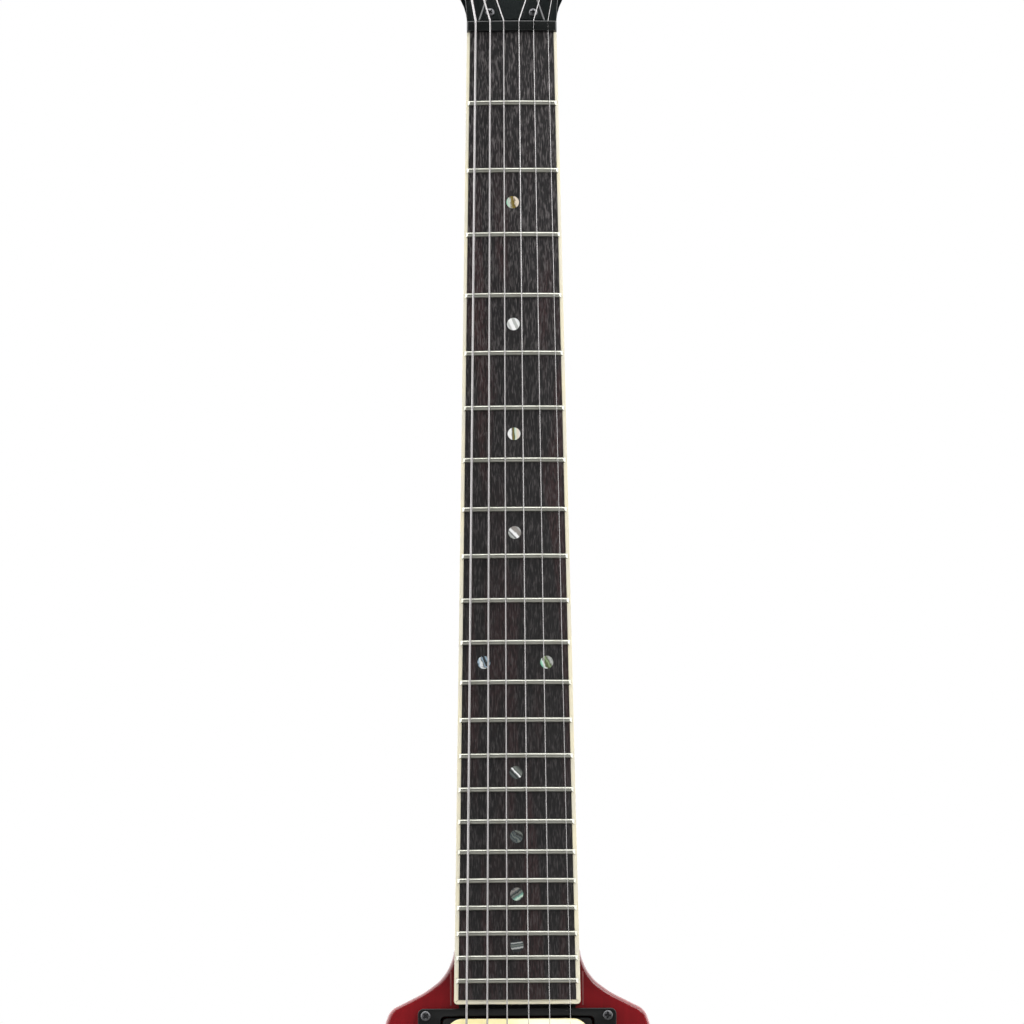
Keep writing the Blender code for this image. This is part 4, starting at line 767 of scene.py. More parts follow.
@dataclass(frozen=True)
class Pearl(Finish):
    """A slice of shell: bands of colour that wander across one dot."""

    x: float
    z: float
    size: float
    lean: float
    stops: tuple
    wobble: float = 0.25
    fine: float = 0.2

    def dress(self, graph: Graph) -> None:
        """Feeds the shader: how far a point lies across the leaning bands picks its colour."""
        here = graph.place(start=(-self.x, 0, -self.z))
        lean = math.radians(self.lean)
        across = graph.axis(here, 0) * math.cos(lean) + graph.axis(here, 2) * math.sin(lean)
        wander = graph.noise(here, 260.0, 2.0, 0.8) - 0.5
        grain = graph.noise(graph.place((1, 1, 0.3), self.lean), 1500.0, 3.0, 0.5) - 0.5
        share = across / self.size + 0.5 + wander * self.wobble + grain * self.fine
        graph.feed(
            Base_Color=graph.ramp(share, self.stops),
            Roughness=0.22 + grain * 0.1,
            Coat_Weight=0.6,
            Coat_Roughness=0.03,
        )


@dataclass(frozen=True)
class Paper(Finish):
    """Plain pale floor whose rim glows as white as the background."""

    colour: Colour
    near: float
    far: float

    def dress(self, graph: Graph) -> None:
        """Feeds the shader: past the near radius the floor turns into plain white light."""
        x, y = graph.axis(graph.place(), 0), graph.axis(graph.place(), 1)
        rim = (x * x + y * y).math("SQRT").rise(self.near, self.far)
        graph.feed(
            Base_Color=graph.mix(rim, self.colour, (0, 0, 0)),
            Emission_Color=graph.mix(rim, (0, 0, 0), (1, 1, 1)),
            Emission_Strength=1.0,
            Roughness=0.8,
            Specular_IOR_Level=0.1,
        )


RED = Lacquer(
    "cherry lacquer",
    "red_lacquer",
    paint(76, 8, 13),
    paint(136, 20, 27),
    middle=-0.01135,
    flat=0.016,
    shaded=(0.468, 0.486),
)
NECK_RED = Lacquer("neck lacquer", "neck_wood", paint(84, 12, 16), paint(122, 20, 24), flat=1.0, dull=0.3)
# painted highlight: the pale colour of the joint lines stands in for light along the real neck seam
SEAM_HIGHLIGHT = Lacquer("seam lacquer highlight", "red_lacquer", paint(122, 66, 68), paint(140, 86, 86), flat=-1.0)
HEAD_BLACK = Lacquer(
    "black lacquer",
    "headstock_black",
    paint(6, 11, 11),
    paint(11, 17, 17),
    grain=0.1,
    roughness=0.3,
    flat=-1.0,
    gloss=0.35,
)
SIDE_BLACK = Plastic("side black", "headstock_black", paint(16, 21, 21), paint(22, 27, 27), 0.6, specular=0.0)
BOARD = Rosewood("board wood", "fingerboard_wood", paint(34, 32, 33), paint(110, 105, 105), paint(58, 37, 38))
CREAM_EDGE = Plastic("binding cream", "binding_cream", paint(232, 227, 208), paint(242, 234, 204), 0.32, 0.15)
NUT_BLACK = Plastic("nut black", "nut_black", paint(14, 16, 16), paint(22, 25, 25), 0.28, 0.2)
BLACK = Plastic("satin black", "black_plastic", paint(16, 17, 17), paint(23, 24, 24), 0.34)
COVER_BLACK = Plastic("cover black", "black_plastic", paint(8, 13, 13), paint(12, 18, 18), 0.22, 0.3)
TAPE = Plastic("coil tape", "black_plastic", paint(20, 20, 20), paint(34, 33, 32), 0.6)
CREAM = Plastic("bobbin cream", "cream_plastic", paint(246, 232, 170), paint(249, 238, 186), 0.26, 1.0)
MARK = Plastic("pointer cream", "cream_plastic", paint(238, 234, 220), paint(228, 224, 206), 0.4)
FRET_METAL = Metal("fret nickel", "nickel", (0.34, 0.34, 0.30), (0.28, 0.28, 0.24), 0.36, (0.05, 1, 1))
NICKEL = Metal("nickel plate", "nickel", (0.56, 0.55, 0.53), (0.45, 0.43, 0.40), 0.16)
STEEL = Metal("plain steel", "plain_steel", (0.56, 0.57, 0.58), (0.42, 0.42, 0.42), 0.30)
SCREW = Metal("screw steel", "plain_steel", (0.10, 0.10, 0.105), (0.07, 0.07, 0.07), 0.42)
BRASS = Metal("saddle brass", "brass", (0.78, 0.62, 0.34), (0.58, 0.43, 0.22), 0.28)
WIRE = Metal("string steel", "string_steel", (0.40, 0.39, 0.39), (0.34, 0.33, 0.33), 0.24, (1, 1, 0.1))
WOUND = WoundWire("wound nickel", "wound_nickel", (0.36, 0.35, 0.35), (0.18, 0.17, 0.17))


# Pieces


@dataclass
class Piece:
    """One piece of the guitar.

    Attributes:
        name: Its name.
        shape: Its surface, in the frame of the CAD model.
        finish: What it is dressed in.
        body: The CAD body that it rides on.
        replaces: The CAD nodes that it stands for.
        sharp: Edges that bend by more degrees than this stay sharp.
        cutters: What is cut out of it.
    """

    name: str
    shape: Shape
    finish: Finish
    body: str = "root"
    replaces: tuple[str, ...] = ()
    sharp: float = 32.0
    cutters: list[Shape] = field(default_factory=list)

    def build(self) -> bpy.types.Object:
        """Makes the object, cuts it, dresses it and hands it to the frame."""
        piece = new_object(self.name, self.shape.mesh(self.name, self.sharp))
        if self.cutters:
            self.carve(piece)
        piece.data.materials.append(self.finish.material())
        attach(piece, self.body)
        if self.replaces:
            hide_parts(*self.replaces)
        log.info("%s rides on %s, %d faces", self.name, self.body, len(piece.data.polygons))
        return piece

    def carve(self, piece: bpy.types.Object) -> None:
        """Cuts the cutters out of the object's mesh."""
        cutter = new_object("cutter", together(*self.cutters).mesh("cutter", self.sharp))
        modifier = piece.modifiers.new("cut", "BOOLEAN")
        modifier.object = cutter
        modifier.solver = "EXACT"
        modifier.use_self = True
        graph = bpy.context.evaluated_depsgraph_get()
        whole = piece.data
        piece.data = bpy.data.meshes.new_from_object(piece.evaluated_get(graph))
        piece.modifiers.clear()
        piece.data.name = self.name
        shade(piece.data, self.sharp)
        data = cutter.data
        bpy.data.objects.remove(cutter)
        bpy.data.meshes.remove(data)
        bpy.data.meshes.remove(whole)


def new_object(name: str, data: bpy.types.Mesh) -> bpy.types.Object:
    """An object in the scene that holds a mesh."""
    piece = bpy.data.objects.new(name, data)
    bpy.context.scene.collection.objects.link(piece)
    return piece


def dress_node(frame: dict, name: str, finish: Finish) -> None:
    """Gives a CAD node that stays visible a better material."""
    for slot in frame["nodes"][name].material_slots:
        slot.material = finish.material()
    log.info("%s keeps its CAD shape in %s", name, finish.name)


class Drive(Enum):
    """The recess in a screw's head."""

    CROSS = "cross"
    SLOT = "slot"


def trough(long: float, wide: float, low: float, high: float) -> Shape:
    """The cutter of a groove whose walls lean in to a narrow floor."""
    mouth = rectangle(2 * long, 2 * wide, 0)
    floor = rectangle(1.5 * long, 0.5 * wide, 0)
    return stack([(floor, low), (mouth, high)])


def screw_piece(
    name: str,
    place: Array,
    radius: float,
    height: float,
    spin: float,
    drive: Drive = Drive.CROSS,
    finish: Finish = SCREW,
    body: str = "root",
) -> Piece:
    """A screw's domed head, whose profile is a flat arc over a short rim, with its recess.

    Args:
        name: The piece's name.
        place: Where the head stands, on the place's Z axis.
        radius: The head's radius.
        height: Its height.
        spin: How far it is turned, in degrees.
        drive: Its recess.
        finish: What it is dressed in.
        body: The CAD body that it rides on.

    Returns:
        The screw.
    """
    recess = 0.0009
    angles = np.linspace(0, math.pi / 2, 7)
    dome = np.stack([radius * np.cos(angles), height * (0.35 + 0.65 * np.sin(angles))], 1)
    head = lathe(np.concatenate([[(0, -0.0004), (radius, -0.0004)], dome]), 28)
    long, wide = (0.72, 0.26) if drive is Drive.CROSS else (1.3, 0.20)
    groove = trough(radius * long, radius * wide, height - recess, 1.5 * height)
    place = place @ turn("Z", spin)
    cutters = [groove.at(place)]
    if drive is Drive.CROSS:
        cutters.append(groove.at(place @ turn("Z", 90)))
    return Piece(name, head.at(place), finish, body, cutters=cutters)


# Fingerboard


@dataclass
class Fingerboard:
    """The fingerboard with its binding, frets, dots and nut. Its frame is the neck's."""

    place: Array
    scale_length: float = 0.62865
    fret_count: int = 22
    tail: float = 0.010655
    nut_width: float = 0.0431
    end_width: float = 0.0582
    thickness: float = 0.006
    radius: float = 0.305
    binding: float = 0.0015
    end_binding: float = 0.0020
    binding_step: float = 0.0002
    binding_corner: float = 0.0016
    fret_width: float = 0.0024
    fret_height: float = 0.0012
    fret_overhang: float = 0.0008
    fret_lean: float = 0.0011
    nut_thickness: float = 0.005
    string_rise: float = 0.0018
    nut_wall: float = 0.0006
    dot_radius: float = 0.003
    side_dot_radius: float = 0.001

    @property
    def length(self) -> float:
        """The board's length from the nut to its end."""
        return self.fret_place(0)

    def fret_place(self, number: int) -> float:
        """The height of a fret above the board's end, the nut being fret 0.

        Each fret halves what is left of the scale length in twelve steps.
        """
        last = self.scale_length * (2 ** (-number / 12) - 2 ** (-self.fret_count / 12))
        return last + self.tail

    def half_width(self, z: Array | float) -> Array | float:
        """Half the board's width at a height."""
        share = z / self.length
        return (self.end_width * (1 - share) + self.nut_width * share) / 2

    def edge_width(self, z: Array | float) -> Array | float:
        """How wide the binding is at a height, a little wider towards the board's end."""
        return self.end_binding + (self.binding - self.end_binding) * z / self.length

    def crown(self, x: Array | float) -> Array | float:
        """How far the round top has fallen at x from the middle."""
        return self.radius - np.sqrt(self.radius**2 - x**2)

    def top(self, x: Array | float) -> Array | float:
        """The Y of the board's top at x."""
        return self.crown(x) - self.thickness

    def wood(self) -> Piece:
        """The board: across each row the top follows a circle, and rows run up the neck."""
        z = np.linspace(self.end_binding, self.length, 40)[:, None]
        half = self.half_width(z) - self.edge_width(z) - SEAM / 4
        x = np.linspace(-1, 1, 41) * half
        rows = np.stack([x, self.top(x), np.broadcast_to(z, x.shape)], -1)
        feet = np.stack([x[:, ::-40], np.full((len(z), 2), -SEAM), np.broadcast_to(z, (len(z), 2))], -1)
        shape = skin(np.concatenate([rows, feet], 1)).at(self.place)
        return Piece("fingerboard_wood", shape, BOARD, replaces=("fingerboard",))

    def edge(self) -> Piece:
        """The binding: a thin section carried down one side, round the end and up the other."""
        low, high = SEAM, self.length
        outer = [(self.half_width(high), high, 0), (self.half_width(low), low, self.binding_corner)]
        sides = outer + [(-x, z, radius) for x, z, radius in reversed(outer)]
        path = rounded(sides, closed=False, step=6)
        up_side = path[:1] + (path[1] - path[0]) * np.linspace(0.1, 0.9, 9)[:, None]
        path = np.concatenate([path[:1], up_side, path[1:]])
        run = np.gradient(path, axis=0)
        run /= np.hypot(*run.T)[:, None]
        inward = np.stack([run[:, 1], -run[:, 0]], 1)
        soft = 0.00035
        wide = self.edge_width(path[:, 1:])
        across = np.array([0, 0, soft * 0.3, soft]) * np.ones_like(wide)
        across = np.concatenate([across, wide, wide], 1)
        foot = np.array([1, 0, 0, 0, 0, 1])
        drop = np.array([0, soft, soft * 0.3, 0, 0, 0])
        points = path[:, None] + inward[:, None] * across[..., None]
        x, z = points[..., 0], points[..., 1]
        y = np.where(foot, -SEAM, self.top(x) + self.binding_step + drop)
        shape = skin(np.stack([x, y, z], -1)).at(self.place)
        return Piece("binding_edge", shape, CREAM_EDGE, replaces=("binding",))

    def fret(self, number: int) -> Shape:
        """One fret: half an ellipse across, carried over the round board.

        A point's x is its share of the fret's length, which shrinks with height, so that both
        ends slope. Its y is the board's top less its height.
        """
        share = np.concatenate([[-1], np.linspace(-0.985, 0.985, 25), [1]])[:, None]
        angle = np.linspace(0, math.pi, 13)
        up = np.concatenate([[-0.0003], self.fret_height * np.sin(angle), [-0.0003]])
        out = np.concatenate([[-1], -np.cos(angle), [1]]) * self.fret_width / 2
        z = self.fret_place(number)
        edge = self.half_width(z) - self.fret_overhang
        lean = self.fret_lean * np.clip(up / self.fret_height, 0, 1)
        x = share * (edge - lean)
        y = self.top(x) - up
        return skin(np.stack([x, y, np.broadcast_to(z + out, x.shape)], -1)).at(self.place)

    def frets(self) -> list[Piece]:
        """All the frets."""
        numbers = range(1, self.fret_count + 1)
        return [Piece(f"fret_{number}", self.fret(number), FRET_METAL, sharp=40) for number in numbers]

    def nut(self) -> Piece:
        """The nut, with a slot for each string and its front corners rounded."""
        half = self.nut_width / 2
        rise = self.thickness + self.string_rise + self.nut_wall
        x = np.linspace(half - 0.0006, -half + 0.0006, 21)
        arch = np.stack([x, self.crown(x) - rise], 1)
        shoulder = self.crown(half) - rise + 0.0006
        foot = [(-half, -SEAM), (half, -SEAM), (half, shoulder)]
        outline = np.concatenate([foot, arch, [(-half, shoulder)]])
        shape = slab(outline, self.length + SEAM, self.length + self.nut_thickness, 0.0003, 0.0007, 4)
        slots = []
        for x, gauge in zip(STRINGS.spaced(STRINGS.spread_at_nut), STRINGS.gauges):
            room = gauge / 2 + SEAM
            floor = self.crown(x) - self.thickness - self.string_rise + SEAM
            span = (self.length - 0.01, self.length + 0.02)
            slots.append(block((x - room, x + room), (-2 * rise, floor), span).at(self.place))
        return Piece("nut_block", shape.at(self.place), NUT_BLACK, replaces=("nut",), cutters=slots)

    def dot(self, name: str, fret: int, x: float, pearl: Pearl) -> Piece:
        """A dot let into the board behind a fret: a disc that follows the round top."""
        z = (self.fret_place(fret) + self.fret_place(fret - 1)) / 2
        rings = np.array([(0, -1), (1, -1), (1, 0.6), (0.97, 1), (0.4, 1), (0.01, 1)])
        angles = 2 * math.pi * np.arange(40) / 40
        across = x + self.dot_radius * rings[:, :1] * np.cos(angles)
        up = z + self.dot_radius * rings[:, :1] * np.sin(angles)
        y = self.top(across) - 0.00005 * rings[:, 1:]
        across[0], up[0], y[0] = across[1], up[1], y[0] + 0.0003
        shape = skin(np.stack([across, y, up], -1)).at(self.place)
        middle = placed(np.array([x, self.top(x), z]), self.place)
        finish = Pearl(name, "binding_cream", middle[0], middle[2], 2 * self.dot_radius, *pearl)
        return Piece(name, shape, finish)

    def dots(self) -> list[Piece]:
        """The ten dots, each with its own slice of shell."""
        wide = 0.01465
        places = [(3, 0), (5, 0), (7, 0), (9, 0), (12, -wide), (12, wide), (15, 0), (17, 0), (19, 0), (21, 0)]
        pieces = []
        for (fret, x), pearl in zip(places, SHELLS):
            side = {-1: "_bass", 0: "", 1: "_treble"}[int(np.sign(x))]
            pieces.append(self.dot(f"dot_{fret}{side}", fret, x, pearl))
        return pieces

    def side_dots(self) -> list[Piece]:
        """Small black dots in the bass side of the binding."""
        pieces = []
        for fret in (3, 5, 7, 9, 12, 15, 17, 19, 21):
            z = (self.fret_place(fret) + self.fret_place(fret - 1)) / 2
            x = -self.half_width(z)
            place = self.place @ move(x + 0.0001, -self.thickness / 2, z) @ turn("Y", -90)
            shape = disc(self.side_dot_radius, -0.0004, 0.00012, 0, 0.00005, 20)
            pieces.append(Piece(f"side_dot_{fret}", shape.at(place), BLACK))
        return pieces

    def pieces(self) -> list[Piece]:
        """Every piece of the fingerboard."""
        return [self.wood(), self.edge(), self.nut(), *self.frets(), *self.dots(), *self.side_dots()]


class Tone(Enum):
    """The tones of a shell's bands, each with its red, green and blue from 0 to 255."""

    WHITE = (252, 252, 251)
    MILK = (237, 240, 240)
    CREAM = (236, 222, 202)
    MIST = (208, 226, 208)
    SILVER = (188, 190, 187)
    SKY = (160, 182, 200)
    MINT = (150, 214, 182)
    SEA = (116, 170, 152)
    SAGE = (146, 166, 126)
    GREY = (148, 143, 138)
    STONE = (116, 121, 114)
    LEAD = (90, 95, 94)
    MOSS = (86, 96, 66)
    BRONZE = (128, 112, 56)
    UMBER = (92, 76, 32)
    SLATE = (58, 68, 72)
    COAL = (44, 46, 47)


def shell(lean: float, wobble: float, fine: float, *bands: tuple[float, Tone]) -> tuple:
    """What sets one dot's shell apart.

    Args:
        lean: How far its bands lean from upright, in degrees.
        wobble: How far they wander.
        fine: How strong their fine grain is.
        bands: Shares of the dot's width, each with its tone.

    Returns:
        The lean, the ramp's stops, the wobble and the grain.
    """
    return lean, tuple((share, paint(*tone.value)) for share, tone in bands), wobble, fine


SHELLS = (
    shell(
        12, 0.25, 0.5,
        (0, Tone.MINT), (0.15, Tone.MIST), (0.28, Tone.SILVER), (0.4, Tone.BRONZE),
        (0.5, Tone.BRONZE), (0.62, Tone.UMBER), (0.68, Tone.CREAM), (0.84, Tone.CREAM),
        (1, Tone.CREAM),
    ),
    shell(
        24, 0.1, 0.1,
        (0, Tone.MILK), (0.16, Tone.SILVER), (0.3, Tone.WHITE), (0.5, Tone.WHITE),
        (0.54, Tone.SILVER), (0.72, Tone.SILVER), (0.8, Tone.WHITE), (1, Tone.MILK),
    ),
    shell(
        2, 0.08, 0.15,
        (0, Tone.WHITE), (0.3, Tone.WHITE), (0.36, Tone.LEAD), (0.44, Tone.BRONZE),
        (0.52, Tone.MOSS), (0.58, Tone.MIST), (0.8, Tone.CREAM), (1, Tone.MILK),
    ),
    shell(
        44, 0.12, 0.12,
        (0, Tone.STONE), (0.16, Tone.SILVER), (0.27, Tone.LEAD), (0.36, Tone.WHITE),
        (0.5, Tone.WHITE), (0.58, Tone.GREY), (0.84, Tone.GREY), (0.96, Tone.SILVER),
    ),
    shell(
        30, 0.9, 0.2,
        (0, Tone.SLATE), (0.14, Tone.SKY), (0.3, Tone.MILK), (0.42, Tone.LEAD),
        (0.5, Tone.SKY), (0.58, Tone.COAL), (0.74, Tone.SLATE), (0.86, Tone.SKY),
        (1, Tone.SLATE),
    ),
    shell(
        30, 0.35, 0.3,
        (0, Tone.SEA), (0.12, Tone.MINT), (0.24, Tone.MILK), (0.32, Tone.MOSS),
        (0.46, Tone.MOSS), (0.56, Tone.SAGE), (0.66, Tone.MOSS), (0.86, Tone.SILVER),
        (1, Tone.STONE),
    ),
    shell(
        44, 0.02, 0.1,
        (0, Tone.COAL), (0.2, Tone.LEAD), (0.3, Tone.COAL), (0.41, Tone.LEAD),
        (0.46, Tone.WHITE), (0.53, Tone.WHITE), (0.57, Tone.LEAD), (0.7, Tone.STONE),
        (1, Tone.COAL),
    ),
    shell(
        50, 0.8, 0.3,
        (0, Tone.COAL), (0.2, Tone.LEAD), (0.3, Tone.SLATE), (0.42, Tone.STONE),
        (0.5, Tone.SLATE), (0.6, Tone.LEAD), (0.72, Tone.COAL), (0.86, Tone.STONE),
        (1, Tone.COAL),
    ),
    shell(
        -55, 0.3, 0.25,
        (0, Tone.SLATE), (0.16, Tone.GREY), (0.3, Tone.LEAD), (0.42, Tone.COAL),
        (0.52, Tone.STONE), (0.62, Tone.LEAD), (0.74, Tone.SEA), (0.84, Tone.MIST),
        (1, Tone.SLATE),
    ),
    shell(
        -82, 0.1, 0.15,
        (0, Tone.COAL), (0.22, Tone.COAL), (0.29, Tone.SILVER), (0.38, Tone.SLATE),
        (0.5, Tone.STONE), (0.58, Tone.SLATE), (0.7, Tone.SILVER), (0.8, Tone.COAL),
        (1, Tone.COAL),
    ),
)


# Neck and headstock


@dataclass
class Neck:
    """The neck, the headstock with its black face, and the cover over the rod's nut."""

    place: Array
    head: Array
    board: Fingerboard
    heel: float = 0.027
    heel_length: float = 0.062
    depths: tuple[float, ...] = (0.036, 0.036, 0.0306, 0.0223, 0.018, 0.0165, 0.0145, 0.0145)
    squareness: tuple[float, ...] = (5.0, 5.0, 4.0, 3.0, 2.4, 2.2, 2.2, 2.3)
    foot_half: float = 0.02155
    waist: Corner = (0.0222, 0.0178, 0.032)
    blank: float = 0.0065
    blank_depth: float = 0.0135
    face_depth: float = 0.0015
    cheek: Corner = (0.0415, 0.048, 0.030)
    shoulder: Corner = (0.057, 0.130, 0.060)
    tip: Corner = (0.062, 0.168, 0.005)
    prong: float = 0.015
    notch: float = 0.100
    notch_radius: float = 0.005
    pocket: tuple[float, float, float] = (0.0055, 0.030, 0.010)
    cover_width: float = 0.0325
    cover_length: float = 0.056
    cover_start: float = 0.0004
    cover_depth: float = 0.002
    cover_screws: tuple = ((-0.01035, 0.0051), (0.01035, 0.0049), (0.0, 0.0400))

    def section(self, half: Array, depth: Array, squareness: Array, points: int = 44) -> Array:
        """Rows of half rounds: across to the power 2 over squareness, down to the same power."""
        angle = np.linspace(0, math.pi, points + 1)
        across, down = -np.cos(angle), np.sin(angle)
        power = 2 / squareness[:, None]
        x = half[:, None] * np.sign(across) * np.abs(across) ** power
        y = depth[:, None] * down**power
        return np.stack([x, y], -1)

    def shaft(self) -> Piece:
        """The neck: half rounds whose depth and squareness change up the neck."""
        length = self.board.length
        back = length + self.board.nut_thickness
        heel = self.heel
        stations = [0, heel + 0.002, heel + 0.25 * self.heel_length, heel + 0.5 * self.heel_length]
        stations = np.array([*stations, heel + self.heel_length, length / 2, length - 0.02, back])
        z = np.concatenate([np.linspace(0.0005, 0.12, 40), np.linspace(0.125, back, 60)])
        depth = smooth_line(stations, np.array(self.depths), z)
        square = smooth_line(stations, np.array(self.squareness), z)
        rows = self.section(self.board.half_width(np.minimum(z, length)), depth, square)
        points = np.concatenate([rows, np.broadcast_to(z[:, None, None], (*rows.shape[:2], 1))], -1)
        return Piece("neck_shaft", skin(points).at(self.place), NECK_RED, replaces=("neck",), sharp=50)

    def head_outline(self, *foot: Corner) -> Array:
        """The outline of the headstock above the corners of its foot."""
        x, z, radius = self.tip
        half = [*foot, self.waist, self.cheek, self.shoulder, self.tip, (x - self.prong, z, radius)]
        return rounded(both_sides(half, (0, self.notch, self.notch_radius)))

    def room(self) -> Shape:
        """The cutter of the pocket round the rod's nut."""
        half, length, depth = self.pocket
        return block((-half, half), (-depth, depth), (-0.003, length)).at(self.head)

    def headstock(self) -> list[Piece]:
        """The headstock's foot, its blank, whose back edges are round, and its face."""
        z = np.linspace(-0.004, 2.2 * self.blank, 24)
        share = np.clip(z / (2.2 * self.blank), 0, 1)
        half = self.foot_half + (self.waist[0] - self.foot_half) * share
        depth = 0.0142 + (self.blank_depth - 0.0006 - 0.0142) * share
        rows = self.section(half - SEAM, depth, 2.4 + 7 * share)
        points = np.concatenate([rows, np.broadcast_to(z[:, None, None], (*rows.shape[:2], 1))], -1)
        foot = Piece("head_foot", skin(points).at(self.head), SIDE_BLACK, sharp=50, cutters=[self.room()])
        outline = self.head_outline((self.foot_half, self.blank, 0))
        shape = slab(outline, -self.blank_depth, 0, 0.0022, 0.0001)
        shape = shape.at(self.head @ FACE_FRONT)
        blank = Piece("head_blank", shape, SIDE_BLACK, cutters=[self.room()])
        outline = self.head_outline((self.foot_half, 0.0003, 0))
        shape = slab(outline, SEAM, SEAM + self.face_depth, 0.0001, 0.0003)
        shape = shape.at(self.head @ FACE_FRONT)
        face = Piece("head_face", shape, HEAD_BLACK, replaces=("head_plate",), cutters=[self.room()])
        return [foot, blank, face]

    def cover(self) -> list[Piece]:
        """The cover over the rod's nut, with its bevelled edge, and its three screws."""
        corner = (self.cover_width / 2, self.cover_start, 0.001)
        outline = rounded(both_sides([corner], (0, self.cover_length, 0.004)))
        bevel = 0.0007
        low = self.face_depth + 2 * SEAM
        top = low + self.cover_depth
        rows = [(inset(outline, 0.0002), low), (outline, low + SEAM), (outline, top - bevel)]
        rows.append((inset(outline, 0.9 * bevel), top - SEAM))
        rows += [(inset(outline, share * bevel), top) for share in (1.2, 1.5)]
        front = self.head @ FACE_FRONT
        shape = stack(rows).at(front)
        pieces = [Piece("rod_cover", shape, COVER_BLACK, replaces=("truss_rod_cover",), sharp=20)]
        for number, (x, z) in enumerate(self.cover_screws, 1):
            name = f"cover_screw_{number}"
            pieces.append(screw_piece(name, front @ move(x, z, top), 0.0021, 0.0008, 20 + 35 * number))
        return pieces

    def pieces(self) -> list[Piece]:
        """Every piece of the neck and headstock."""
        return [self.shaft(), *self.headstock(), *self.cover()]


# Machine heads


